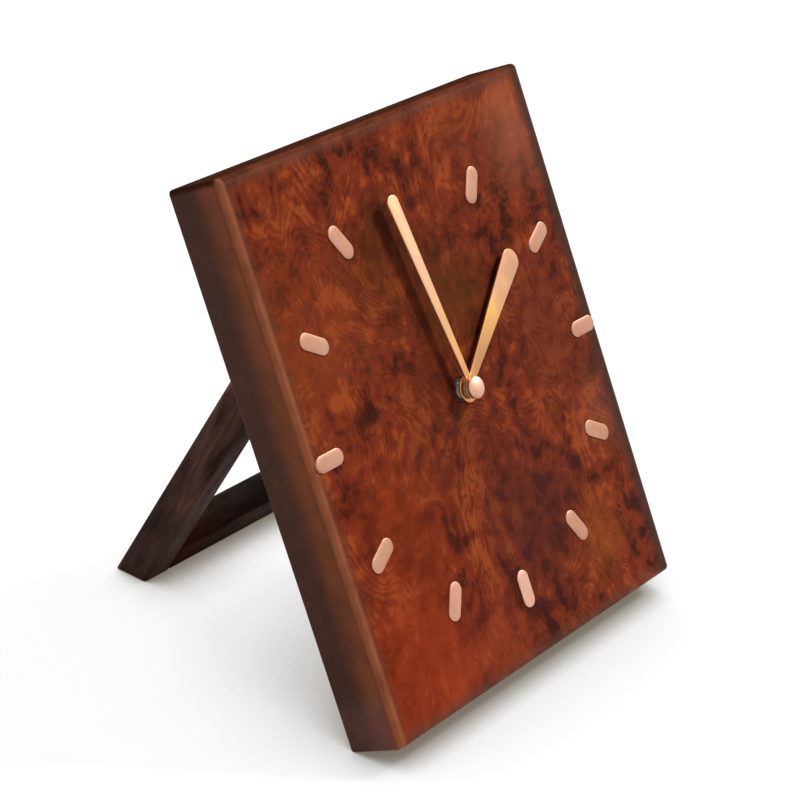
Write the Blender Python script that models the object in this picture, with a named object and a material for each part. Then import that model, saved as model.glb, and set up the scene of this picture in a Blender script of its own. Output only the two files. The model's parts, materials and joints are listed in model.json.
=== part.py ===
"""Desk clock: a leaning wooden dial board with inlaid hour bars, a battery movement let
into its back, two hands, and a folding stand of square bars on two butt hinges.

Metres, +Z up. The origin lies on the floor under the middle of the whole clock, +X is the
viewer's right and the dial faces -Y. The pose is the open one: the stand's bevelled top
ends rest on the back of the board.

Most pieces are modelled in the board's own frame: x across, y from the front face into
the board, z up the board, with its zero at the middle of the dial. Angles on the dial
count clockwise from twelve, which is a positive turn about that frame's y.
"""
import math

import bmesh
import bpy

# Gaps
FIT_GAP = 0.0003
RUNNING_GAP = 0.0003
CUT_OVERRUN = 0.001
MERGE_SHARE = 0.01

# Dial board
BOARD_WIDTH = 0.128
BOARD_HEIGHT = 0.152
DIAL_WEB = 0.0027
BOARD_LEAN = math.radians(28.0)
BOARD_FRONT_ROUND = 0.0024
BOARD_BACK_ROUND = 0.0008
BOARD_REST_FLAT = 0.0015
ROUND_STEPS = 3
ROUND_PROFILE_SHARE = 0.5

# Hour bars
HOURS = 12
BAR_LENGTH = 0.0106
BAR_WIDTH = 0.0046
BAR_INSET = 0.0012
BAR_PROUD = 0.0004
BAR_EDGE_MARGIN = 0.0017
BAR_END_STEPS = 5

# Battery and movement case
CELL_DIAMETER = 0.0136
CELL_LENGTH = 0.0494
CELL_BUTTON_DIAMETER = 0.0055
CELL_BUTTON_HEIGHT = 0.001
CONTACT_ROOM = 0.0023
CASE_WALL = 0.001
CASE_FLOOR = 0.0008
COVER_THICKNESS = 0.0008
COVER_LIP_HEIGHT = 0.0012
COVER_LIP_WALL = 0.0008
BAY_WALL = 0.0008
BAY_CLEARANCE = 0.0032
BAY_WALL_END_GAP = 0.0014

# Stack on the hand axis, radii from the inside out
SECONDS_ARBOR_RADIUS = 0.00045
PIPE_WALL = 0.0006
BUSH_WALL = 0.0007
BUSH_RECESS = 0.0004

# Wheels
WHEEL_THICKNESS = 0.0008
LAYER_GAP = 0.0004
FIRST_LAYER_GAP = 0.0006
ARBOR_RADIUS = 0.00045
PIVOT_END_GAP = 0.0004
BEARING_WALL = 0.0006
BEARING_HEIGHT = 0.001
COVER_BEARING_HEIGHT = 0.002
ROTOR_MODULE = 0.00025
INTERMEDIATE_MODULE = 0.0004
THIRD_MODULE = 0.00027
MOTION_MODULE = 0.0003
ROTOR_TEETH = 8
INTERMEDIATE_TEETH = 48
INTERMEDIATE_PINION_TEETH = 8
SECONDS_TEETH = 40
SECONDS_PINION_TEETH = 8
THIRD_TEETH = 64
THIRD_PINION_TEETH = 8
CENTRE_TEETH = 60
CANNON_TEETH = 12
MINUTE_WHEEL_TEETH = 36
MINUTE_PINION_TEETH = 10
HOUR_TEETH = 40
SETTING_TEETH = 18
TOOTH_ADDENDUM_SHARE = 0.8
TOOTH_DEDENDUM_SHARE = 1.15
WHEEL_ROOT_SHARE = 0.5
PINION_TIP_SHARE = 0.14
PINION_ROOT_SHARE = 0.34
THIRD_BEARING = math.radians(60.0)
INTERMEDIATE_BEARING = math.radians(-15.0)
ROTOR_BEARING = math.radians(40.0)
MINUTE_WHEEL_BEARING = math.radians(-60.0)
SETTING_BEARING = math.radians(-30.0)

# Stepping motor
MAGNET_RADIUS = 0.0029
MAGNET_THICKNESS = 0.002
STATOR_THICKNESS = 0.0008
STATOR_AIR_GAP = 0.0006
STATOR_RING_WALL = 0.0011
STATOR_LEG_WIDTH = 0.0028
STATOR_HALF_SPAN = 0.0105
STATOR_ARM_HEIGHT = 0.0052
STATOR_REACH = 0.0085
COIL_RADIUS = 0.003
COIL_WALL_GAP = 0.0006
COIL_CORE_HEIGHT = 0.002
BOBBIN_WALL = 0.0005
BOBBIN_FLANGE = 0.0007
BOBBIN_FLANGE_RISE = 0.0003
BOBBIN_LEG_GAP = 0.0008
MOTOR_POST_RADIUS = 0.0011

# Setting knob
KNOB_RADIUS = 0.006
KNOB_THICKNESS = 0.003
KNOB_RIDGES = 16
KNOB_RIDGE_DEPTH = 0.0004
KNOB_ARBOR_RADIUS = 0.001
KNOB_LIFT = 0.0004

# Circuit board, crystal and contacts
CIRCUIT_KNOB_GAP = 0.0028
CIRCUIT_THICKNESS = 0.001
CIRCUIT_TOP_GAP = 0.002
CIRCUIT_BOTTOM_GAP = 0.003
CIRCUIT_POST_RADIUS = 0.0012
CIRCUIT_POST_INSET = 0.004
CRYSTAL_RADIUS = 0.001
CRYSTAL_LENGTH = 0.006
CRYSTAL_DROP = 0.008
CONTACT_THICKNESS = 0.0003
CONTACT_WIDTH = 0.004
CONTACT_SPRING_HALF = 0.005
CONTACT_RISE_ON_BOARD = 0.005
CONTACT_TAIL = 0.0012

# Clips that hold the movement
CLIP_WIDTH = 0.010
CLIP_THICKNESS = 0.0008
CLIP_OVERLAP = 0.004
CLIP_FOOT = 0.0085
CLIP_HEIGHT_ON_DIAL = 0.004
CLIP_CORNER = 0.0015

# Wood screws
SCREW_SHANK_RADIUS = 0.0009
SCREW_HEAD_RADIUS = 0.0017
SCREW_HEAD_CONE = 0.0006
SCREW_LENGTH = 0.007
SCREW_TIP = 0.0018
CLIP_SCREW_HEAD_RADIUS = 0.0021
CLIP_SCREW_HEAD_HEIGHT = 0.0011
CLIP_SCREW_HEAD_CROWN = 0.0005

# Hands
HAND_THICKNESS = 0.0006
HOUR_HAND_LIFT = 0.0016
HAND_SPACING = 0.0008
HUB_WALL = 0.0011
MINUTE_HAND_SHORTFALL = 0.0005
MINUTE_HAND_NECK_WIDTH = 0.0018
MINUTE_HAND_END_WIDTH = 0.0044
MINUTE_HAND_ANGLE = math.radians(-8.7)
HOUR_HAND_SHORTFALL = 0.0120
HOUR_HAND_NECK_WIDTH = 0.0022
HOUR_HAND_END_WIDTH = 0.0068
HOUR_HAND_ANGLE = math.radians(51.0)
HAND_TIP_STEPS = 4
HAND_TIP_SHARE = 0.45
CAP_RADIUS = 0.0031
CAP_HEIGHT = 0.0021
CAP_RIM = 0.0007
CAP_THREAD_DEPTH = 0.0012
CAP_DOME_STEPS = 3

# Stand
STAND_CASE_GAP = 0.0015
STAND_BAR = 0.010
STAND_LEAN = math.radians(27.0)
STAND_EDGE_ROUND = 0.0008
TENON_SIDE = 0.0044
TENON_LENGTH = 0.005

# Butt hinges
HINGE_ABOVE_DIAL = 0.0230
HINGE_WIDTH = 0.0086
HINGE_BARREL_RADIUS = 0.0015
HINGE_PIN_RADIUS = 0.0006
HINGE_LEAF_THICKNESS = 0.0008
HINGE_LEAF_LENGTH = 0.0118
HINGE_KNUCKLE_SHARE = 0.34
HINGE_SCREW_PLACE_SHARES = (0.36, 0.78)

# Facets
FINE_SIDES = 20
ROUND_SIDES = 16
SMALL_SIDES = 12
PIVOT_SIDES = 8
SHARP_ANGLE = math.radians(35.0)

# Places that follow from the sizes above, in the board's frame
CASE_DEPTH = CASE_FLOOR + CELL_DIAMETER + 2 * FIT_GAP
POCKET_DEPTH = CASE_DEPTH + FIT_GAP
BOARD_THICKNESS = DIAL_WEB + POCKET_DEPTH
CASE_FRONT = DIAL_WEB + FIT_GAP
FLOOR_BACK = CASE_FRONT + CASE_FLOOR
CASE_BACK = CASE_FRONT + CASE_DEPTH
COVER_FRONT = CASE_BACK - COVER_THICKNESS
WALL_BACK = COVER_FRONT - FIT_GAP
ROOM_HALF = CELL_LENGTH / 2 + CONTACT_ROOM
CASE_HALF = ROOM_HALF + CASE_WALL
CELL_RADIUS = CELL_DIAMETER / 2
CELL_DEPTH = FLOOR_BACK + FIT_GAP + CELL_RADIUS
BAR_CIRCLE_RADIUS = min(BOARD_WIDTH, BOARD_HEIGHT) / 2 - BAR_EDGE_MARGIN - BAR_LENGTH / 2
MINUTE_HAND_LENGTH = BAR_CIRCLE_RADIUS - MINUTE_HAND_SHORTFALL
HOUR_HAND_LENGTH = BAR_CIRCLE_RADIUS - HOUR_HAND_SHORTFALL
STAND_WIDTH = 2 * (CASE_HALF + STAND_CASE_GAP + STAND_BAR)

MINUTE_PIPE_BORE = SECONDS_ARBOR_RADIUS + RUNNING_GAP
MINUTE_PIPE_RADIUS = MINUTE_PIPE_BORE + PIPE_WALL
HOUR_PIPE_BORE = MINUTE_PIPE_RADIUS + RUNNING_GAP
HOUR_PIPE_RADIUS = HOUR_PIPE_BORE + PIPE_WALL
BUSH_BORE = HOUR_PIPE_RADIUS + RUNNING_GAP
BUSH_RADIUS = BUSH_BORE + BUSH_WALL

LAYER_PITCH = WHEEL_THICKNESS + LAYER_GAP
HOUR_LAYER = FLOOR_BACK + FIRST_LAYER_GAP
MOTION_LAYER = HOUR_LAYER + LAYER_PITCH
CENTRE_LAYER = MOTION_LAYER + LAYER_PITCH
THIRD_LAYER = CENTRE_LAYER + LAYER_PITCH
SECONDS_LAYER = THIRD_LAYER + LAYER_PITCH
INTERMEDIATE_LAYER = SECONDS_LAYER + LAYER_PITCH
MAGNET_FRONT = INTERMEDIATE_LAYER + LAYER_PITCH
STATOR_FRONT = MAGNET_FRONT + (MAGNET_THICKNESS - STATOR_THICKNESS) / 2
CORE_FRONT = STATOR_FRONT - FIT_GAP - STATOR_THICKNESS
ARBOR_FRONT = FLOOR_BACK + PIVOT_END_GAP
ARBOR_BACK = COVER_FRONT - PIVOT_END_GAP

HOUR_HAND_BACK = -HOUR_HAND_LIFT
HOUR_HAND_FRONT = HOUR_HAND_BACK - HAND_THICKNESS
MINUTE_HAND_BACK = HOUR_HAND_FRONT - HAND_SPACING
MINUTE_HAND_FRONT = MINUTE_HAND_BACK - HAND_THICKNESS
CAP_BACK = MINUTE_HAND_FRONT - FIT_GAP
PIPE_FRONT = CAP_BACK - CAP_THREAD_DEPTH + FIT_GAP

HINGE_LIFT = HINGE_BARREL_RADIUS + FIT_GAP
OPEN_ANGLE = BOARD_LEAN + STAND_LEAN
REST_DEPTH = BOARD_REST_FLAT * math.sin(BOARD_LEAN) * math.cos(BOARD_LEAN)
DIAL_HEIGHT = (
    BOARD_THICKNESS * math.sin(BOARD_LEAN)
    + BOARD_HEIGHT / 2 * math.cos(BOARD_LEAN)
    - REST_DEPTH
)
HINGE_Y = BOARD_THICKNESS + HINGE_LIFT
HINGE_X = (STAND_WIDTH - STAND_BAR) / 2
HINGE_HEIGHT = (
    DIAL_HEIGHT
    - HINGE_Y * math.sin(BOARD_LEAN)
    + HINGE_ABOVE_DIAL * math.cos(BOARD_LEAN)
)
BOARD_REACH = BOARD_HEIGHT / 2 * math.sin(BOARD_LEAN) - BOARD_FRONT_ROUND * (
    math.cos(BOARD_LEAN) + math.sin(BOARD_LEAN) - 1
)
STAND_FOOT_Y = (
    HINGE_Y * math.cos(BOARD_LEAN)
    + HINGE_ABOVE_DIAL * math.sin(BOARD_LEAN)
    + (HINGE_LIFT + STAND_BAR) / math.cos(STAND_LEAN)
    + HINGE_HEIGHT * math.tan(STAND_LEAN)
)
DIAL_Y = (BOARD_REACH - STAND_FOOT_Y) / 2


def clear_scene():
    """Remove every object of the open scene."""
    for thing in list(bpy.data.objects):
        bpy.data.objects.remove(thing, do_unlink=True)


def material(name, colour, roughness, metallic=0.0):
    """A Principled BSDF material of one colour."""
    made = bpy.data.materials.new(name)
    made.use_nodes = True
    shader = made.node_tree.nodes["Principled BSDF"]
    shader.inputs["Base Color"].default_value = (*colour, 1.0)
    shader.inputs["Roughness"].default_value = roughness
    shader.inputs["Metallic"].default_value = metallic
    return made


def empty(name, parent, place, turn):
    """An empty that carries other pieces: a frame or a joint's axis."""
    made = bpy.data.objects.new(name, None)
    bpy.context.collection.objects.link(made)
    made.parent = parent
    made.location = place
    made.rotation_euler = turn
    return made


def finish(bm, name, parent, finish_material, place=(0, 0, 0), turn=(0, 0, 0)):
    """Turn a bmesh into a shaded object carried by parent."""
    bmesh.ops.recalc_face_normals(bm, faces=bm.faces)
    mesh = bpy.data.meshes.new(name)
    bm.to_mesh(mesh)
    bm.free()
    mesh.shade_smooth()
    mesh.set_sharp_from_angle(angle=SHARP_ANGLE)
    made = bpy.data.objects.new(name, mesh)
    bpy.context.collection.objects.link(made)
    made.parent = parent
    made.location = place
    made.rotation_euler = turn
    mesh.materials.append(finish_material)
    return made


def combine(target, bm, operation):
    """Join a helper shape to target, or cut it away, in target's own frame."""
    bmesh.ops.recalc_face_normals(bm, faces=bm.faces)
    mesh = bpy.data.meshes.new(target.name + "_helper")
    bm.to_mesh(mesh)
    bm.free()
    helper = bpy.data.objects.new(target.name + "_helper", mesh)
    bpy.context.collection.objects.link(helper)
    helper.parent = target
    helper.hide_render = True
    helper.display_type = "WIRE"
    change = target.modifiers.new(operation.title(), "BOOLEAN")
    change.operation = operation
    change.solver = "EXACT"
    change.object = helper


def circle(radius, sides, centre=(0, 0)):
    """Points of a regular polygon in x and z, clockwise from twelve."""
    points = []
    for step in range(sides):
        angle = math.tau * (step + 0.5) / sides
        points.append((centre[0] + radius * math.sin(angle), centre[1] + radius * math.cos(angle)))
    return points


def add_prism(bm, outline, low, high, along="y"):
    """Extrude an outline along an axis: points are (x, z) for y and (y, z) for x."""
    if along == "y":
        corners = [(first, low, second) for first, second in outline]
        travel = (0, high - low, 0)
    else:
        corners = [(low, first, second) for first, second in outline]
        travel = (high - low, 0, 0)
    face = bm.faces.new([bm.verts.new(corner) for corner in corners])
    swept = bmesh.ops.extrude_face_region(bm, geom=[face], use_keep_orig=True)
    moved = [item for item in swept["geom"] if isinstance(item, bmesh.types.BMVert)]
    bmesh.ops.translate(bm, verts=moved, vec=travel)
    return bm


def prism(outline, low, high, along="y"):
    """One extruded outline as a new bmesh."""
    return add_prism(bmesh.new(), outline, low, high, along)


def rectangle(low_first, high_first, low_second, high_second):
    """Corners of a rectangle."""
    return [
        (low_first, low_second),
        (high_first, low_second),
        (high_first, high_second),
        (low_first, high_second),
    ]


def add_rod(bm, radius, low, high, sides, centre=(0, 0)):
    """A round bar along y."""
    return add_prism(bm, circle(radius, sides, centre), low, high)


def rod(radius, low, high, sides, centre=(0, 0)):
    """One round bar along y as a new bmesh."""
    return add_rod(bmesh.new(), radius, low, high, sides, centre)


def add_turned(bm, profile, sides, centre=(0, 0)):
    """Spin a profile of (radius, y) points, which starts and ends on the axis, about y."""
    points = [bm.verts.new((centre[0] + radius, y, centre[1])) for radius, y in profile]
    edges = [bm.edges.new(pair) for pair in zip(points, points[1:])]
    bmesh.ops.spin(
        bm,
        geom=points + edges,
        cent=(centre[0], 0, centre[1]),
        axis=(0, 1, 0),
        angle=math.tau,
        steps=sides,
        use_merge=True,
    )
    bmesh.ops.remove_doubles(bm, verts=bm.verts, dist=FIT_GAP * MERGE_SHARE)
    return bm


def gear_outline(teeth, module, tip_share, root_share):
    """A gear's outline: teeth with straight flanks, tooth 0 at twelve.

    The shares are the tooth's width at its tip and at its root, in pitches. A tip share
    of zero gives pointed teeth.
    """
    pitch_radius = teeth * module / 2
    tip = pitch_radius + TOOTH_ADDENDUM_SHARE * module
    root = pitch_radius - TOOTH_DEDENDUM_SHARE * module
    pitch = math.tau / teeth
    points = []
    for tooth in range(teeth):
        middle = tooth * pitch
        corners = [(-root_share / 2, root)]
        if tip_share > 0:
            corners += [(-tip_share / 2, tip), (tip_share / 2, tip)]
        else:
            corners.append((0, tip))
        corners.append((root_share / 2, root))
        for shift, radius in corners:
            angle = middle + shift * pitch
            points.append((radius * math.sin(angle), radius * math.cos(angle)))
    return points


def wheel_outline(teeth, module):
    """Pointed teeth of a large wheel."""
    return gear_outline(teeth, module, 0, WHEEL_ROOT_SHARE)


def pinion_outline(teeth, module):
    """Slim flat-topped teeth of a pinion."""
    return gear_outline(teeth, module, PINION_TIP_SHARE, PINION_ROOT_SHARE)


def centre_distance(teeth, other_teeth, module):
    """Distance between the axes of two gears in mesh."""
    return (teeth + other_teeth) * module / 2


def step_from(place, bearing, distance):
    """The point at a distance from a place, in a direction on the dial."""
    return (place[0] + distance * math.sin(bearing), place[1] + distance * math.cos(bearing))


def meshed_turn(driver_turn, driver_teeth, bearing, teeth):
    """Turn of a gear that puts a gap of its own where the driver has a tooth.

    bearing is the direction from the driver's axis to this gear's axis.
    """
    driver_place = (bearing - driver_turn) * driver_teeth / math.tau
    return bearing + math.pi - (0.5 - driver_place) * math.tau / teeth


def matched_module(module, teeth, other_teeth, new_teeth, new_other_teeth):
    """Module of a second pair of gears on the same two axes."""
    return module * (teeth + other_teeth) / (new_teeth + new_other_teeth)


HAND_AXIS = (0.0, 0.0)
CENTRE_MODULE = matched_module(
    THIRD_MODULE, SECONDS_PINION_TEETH, THIRD_TEETH, THIRD_PINION_TEETH, CENTRE_TEETH
)
HOUR_MODULE = matched_module(
    MOTION_MODULE, CANNON_TEETH, MINUTE_WHEEL_TEETH, MINUTE_PINION_TEETH, HOUR_TEETH
)
INTERMEDIATE_AXIS = step_from(
    HAND_AXIS,
    INTERMEDIATE_BEARING,
    centre_distance(SECONDS_TEETH, INTERMEDIATE_PINION_TEETH, INTERMEDIATE_MODULE),
)
ROTOR_AXIS = step_from(
    INTERMEDIATE_AXIS,
    ROTOR_BEARING,
    centre_distance(ROTOR_TEETH, INTERMEDIATE_TEETH, ROTOR_MODULE),
)
THIRD_AXIS = step_from(
    HAND_AXIS,
    THIRD_BEARING,
    centre_distance(SECONDS_PINION_TEETH, THIRD_TEETH, THIRD_MODULE),
)
MINUTE_WHEEL_AXIS = step_from(
    HAND_AXIS,
    MINUTE_WHEEL_BEARING,
    centre_distance(CANNON_TEETH, MINUTE_WHEEL_TEETH, MOTION_MODULE),
)
KNOB_AXIS = step_from(
    MINUTE_WHEEL_AXIS,
    SETTING_BEARING,
    centre_distance(MINUTE_WHEEL_TEETH, SETTING_TEETH, MOTION_MODULE),
)
BAY_WALL_HIGH = -(CENTRE_TEETH / 2 + TOOTH_ADDENDUM_SHARE) * CENTRE_MODULE - BAY_CLEARANCE
BAY_WALL_LOW = BAY_WALL_HIGH - BAY_WALL
CELL_HEIGHT = BAY_WALL_LOW - FIT_GAP - CELL_RADIUS
ROOM_LOW = CELL_HEIGHT - CELL_RADIUS - FIT_GAP
CASE_LOW = ROOM_LOW - CASE_WALL
COIL_HEIGHT = ROTOR_AXIS[1] + STATOR_REACH
COIL_DEPTH = CORE_FRONT + STATOR_THICKNESS / 2
ROOM_HIGH = COIL_HEIGHT + COIL_RADIUS + BOBBIN_FLANGE_RISE + COIL_WALL_GAP
CASE_HIGH = ROOM_HIGH + CASE_WALL
STATOR_LEFT = ROTOR_AXIS[0] - STATOR_HALF_SPAN
STATOR_RIGHT = ROTOR_AXIS[0] + STATOR_HALF_SPAN
CIRCUIT_LEFT = -ROOM_HALF + CONTACT_THICKNESS + 2 * FIT_GAP
CIRCUIT_RIGHT = KNOB_AXIS[0] - KNOB_ARBOR_RADIUS - CIRCUIT_KNOB_GAP
CIRCUIT_FRONT = CELL_DEPTH - CONTACT_WIDTH / 2 - FIT_GAP - CIRCUIT_THICKNESS
CIRCUIT_LOW = BAY_WALL_HIGH + CIRCUIT_BOTTOM_GAP
CIRCUIT_HIGH = ROOM_HIGH - CIRCUIT_TOP_GAP
CLIP_SCREW_X = CASE_HALF + FIT_GAP + CLIP_FOOT / 2


def build_materials():
    """The clock's plain materials by name."""
    return {
        "board": material("board_wood", (0.19, 0.042, 0.018), 0.38),
        "stand": material("stand_wood", (0.055, 0.024, 0.016), 0.45),
        "bar": material("bar_inlay", (0.62, 0.36, 0.27), 0.4),
        "hand": material("hand_gilt", (0.68, 0.42, 0.22), 0.3, 0.7),
        "case": material("case_plastic", (0.03, 0.03, 0.032), 0.5),
        "gear": material("gear_nylon", (0.78, 0.76, 0.70), 0.45),
        "steel": material("motor_steel", (0.45, 0.45, 0.46), 0.35, 1.0),
        "copper": material("coil_copper", (0.60, 0.24, 0.10), 0.35, 1.0),
        "circuit": material("circuit_resin", (0.02, 0.16, 0.06), 0.5),
        "cell": material("cell_jacket", (0.09, 0.10, 0.11), 0.35),
        "brass": material("hinge_brass", (0.62, 0.44, 0.18), 0.32, 1.0),
    }


def board_solid():
    """The dial board's block with its rounded edges and the flat it rests on."""
    half_width = BOARD_WIDTH / 2
    half_height = BOARD_HEIGHT / 2
    bm = prism(
        rectangle(-half_width, half_width, -half_height, half_height), 0, BOARD_THICKNESS
    )
    front = [edge for edge in bm.edges if all(vert.co.y < FIT_GAP for vert in edge.verts)]
    bmesh.ops.bevel(
        bm,
        geom=front,
        offset=BOARD_FRONT_ROUND,
        segments=ROUND_STEPS,
        profile=ROUND_PROFILE_SHARE,
        affect="EDGES",
    )
    back = [
        edge
        for edge in bm.edges
        if all(vert.co.y > BOARD_THICKNESS - FIT_GAP for vert in edge.verts)
        and any(vert.co.z > 0 for vert in edge.verts)
    ]
    bmesh.ops.bevel(bm, geom=back, offset=BOARD_BACK_ROUND, segments=1, affect="EDGES")
    cut = bmesh.ops.bisect_plane(
        bm,
        geom=bm.verts[:] + bm.edges[:] + bm.faces[:],
        plane_co=(0, 0, -DIAL_HEIGHT / math.cos(BOARD_LEAN)),
        plane_no=(0, -math.sin(BOARD_LEAN), math.cos(BOARD_LEAN)),
        clear_inner=True,
    )
    rim = [item for item in cut["geom_cut"] if isinstance(item, bmesh.types.BMEdge)]
    bmesh.ops.holes_fill(bm, edges=rim, sides=len(rim))
    return bm


def bar_outline(allowance=0.0):
    """A bar with round ends, standing at twelve, grown by an allowance all round."""
    radius = BAR_WIDTH / 2 + allowance
    straight = (BAR_LENGTH - BAR_WIDTH) / 2
    points = []
    for sign in (1, -1):
        for step in range(BAR_END_STEPS + 1):
            angle = math.pi * step / BAR_END_STEPS
            across = -sign * radius * math.cos(angle)
            points.append((across, sign * (straight + radius * math.sin(angle))))
    return points


def turned_outline(outline, angle, centre):
    """An outline turned clockwise about its own zero and then moved to a centre."""
    points = []
    for x, z in outline:
        turned_x = x * math.cos(angle) + z * math.sin(angle)
        turned_z = z * math.cos(angle) - x * math.sin(angle)
        points.append((centre[0] + turned_x, centre[1] + turned_z))
    return points


def bar_hours():
    """The hours that have a bar: all but twelve."""
    return range(1, HOURS)


def bar_angle(number):
    """Where an hour's bar stands on the dial."""
    return math.tau * number / HOURS


def screw_places():
    """Where screws enter the back of the board: the clips' and the hinges' holes."""
    places = []
    for side in (-1, 1):
        places.append((side * CLIP_SCREW_X, CLIP_HEIGHT_ON_DIAL))
        for share in HINGE_SCREW_PLACE_SHARES:
            places.append((side * HINGE_X, HINGE_ABOVE_DIAL - share * HINGE_LEAF_LENGTH))
    return places


def build_board(frame, finishes):
    """The dial board with its movement pocket, shaft hole, bar recesses and screw holes."""
    board = finish(board_solid(), "dial_board", frame, finishes["board"])
    side = CASE_HALF + FIT_GAP
    pocket = rectangle(-side, side, CASE_LOW - FIT_GAP, CASE_HIGH + FIT_GAP)
    combine(board, prism(pocket, DIAL_WEB, BOARD_THICKNESS + CUT_OVERRUN), "DIFFERENCE")
    combine(
        board,
        rod(BUSH_RADIUS + FIT_GAP, -CUT_OVERRUN, DIAL_WEB + CUT_OVERRUN, FINE_SIDES),
        "DIFFERENCE",
    )
    recesses = bmesh.new()
    for number in bar_hours():
        angle = bar_angle(number)
        centre = step_from(HAND_AXIS, angle, BAR_CIRCLE_RADIUS)
        outline = turned_outline(bar_outline(FIT_GAP), angle, centre)
        add_prism(recesses, outline, -CUT_OVERRUN, BAR_INSET)
    combine(board, recesses, "DIFFERENCE")
    holes = bmesh.new()
    for place in screw_places():
        bottom = BOARD_THICKNESS - SCREW_LENGTH - FIT_GAP
        add_rod(
            holes,
            SCREW_SHANK_RADIUS + FIT_GAP,
            bottom,
            BOARD_THICKNESS + CUT_OVERRUN,
            SMALL_SIDES,
            place,
        )
    combine(board, holes, "DIFFERENCE")


def build_bars(frame, finishes):
    """The inlaid hour bars, which share one mesh."""
    shared = None
    for number in bar_hours():
        angle = bar_angle(number)
        x, z = step_from(HAND_AXIS, angle, BAR_CIRCLE_RADIUS)
        name = f"hour_bar_{number:02d}"
        if shared is None:
            bar = finish(
                prism(bar_outline(), -BAR_PROUD, BAR_INSET - FIT_GAP),
                name,
                frame,
                finishes["bar"],
                (x, 0, z),
                (0, angle, 0),
            )
            shared = bar.data
            continue
        bar = bpy.data.objects.new(name, shared)
        bpy.context.collection.objects.link(bar)
        bar.parent = frame
        bar.location = (x, 0, z)
        bar.rotation_euler = (0, angle, 0)


def hand_outline(length, neck_width, end_width):
    """A hand that widens from its hub to a round end, pointing at twelve."""
    tip = HAND_TIP_SHARE * end_width
    points = [(-neck_width / 2, 0)]
    for step in range(2 * HAND_TIP_STEPS + 1):
        angle = math.pi * step / (2 * HAND_TIP_STEPS)
        points.append(
            (-end_width / 2 * math.cos(angle), length - tip + tip * math.sin(angle))
        )
    points.append((neck_width / 2, 0))
    return points


def build_hand(frame, finishes, name, sizes, angle, front, pipe_radius):
    """One hand: a flat tapering arm on a hub ring that is pressed on its pipe."""
    back = front + HAND_THICKNESS
    hand = finish(
        prism(hand_outline(*sizes), front, back),
        name,
        frame,
        finishes["hand"],
        turn=(0, angle, 0),
    )
    bore = pipe_radius + FIT_GAP
    combine(hand, rod(bore + HUB_WALL, front, back, FINE_SIDES), "UNION")
    combine(hand, rod(bore, front - CUT_OVERRUN, back + CUT_OVERRUN, SMALL_SIDES), "DIFFERENCE")


def build_cap(frame, finishes):
    """The domed nut on the end of the minute pipe."""
    bore = MINUTE_PIPE_RADIUS + FIT_GAP
    bottom = CAP_BACK - CAP_THREAD_DEPTH
    shoulder = CAP_BACK - CAP_RIM
    profile = [(0, bottom), (bore, bottom), (bore, CAP_BACK), (CAP_RADIUS, CAP_BACK)]
    for step in range(CAP_DOME_STEPS + 1):
        angle = math.pi / 2 * step / CAP_DOME_STEPS
        drop = (CAP_HEIGHT - CAP_RIM) * math.sin(angle)
        radius = CAP_RADIUS * math.cos(angle) if step < CAP_DOME_STEPS else 0
        profile.append((radius, shoulder - drop))
    finish(add_turned(bmesh.new(), profile, ROUND_SIDES), "hand_cap_nut", frame, finishes["hand"])


def motor_posts():
    """Where the posts under the ends of the coil core stand."""
    inset = STATOR_LEG_WIDTH / 2
    return [(STATOR_LEFT + inset, COIL_HEIGHT), (STATOR_RIGHT - inset, COIL_HEIGHT)]


def circuit_posts():
    """Where the posts under the circuit board stand."""
    middle = (CIRCUIT_LEFT + CIRCUIT_RIGHT) / 2
    return [(middle, CIRCUIT_LOW + CIRCUIT_POST_INSET), (middle, CIRCUIT_HIGH - CIRCUIT_POST_INSET)]


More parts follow.
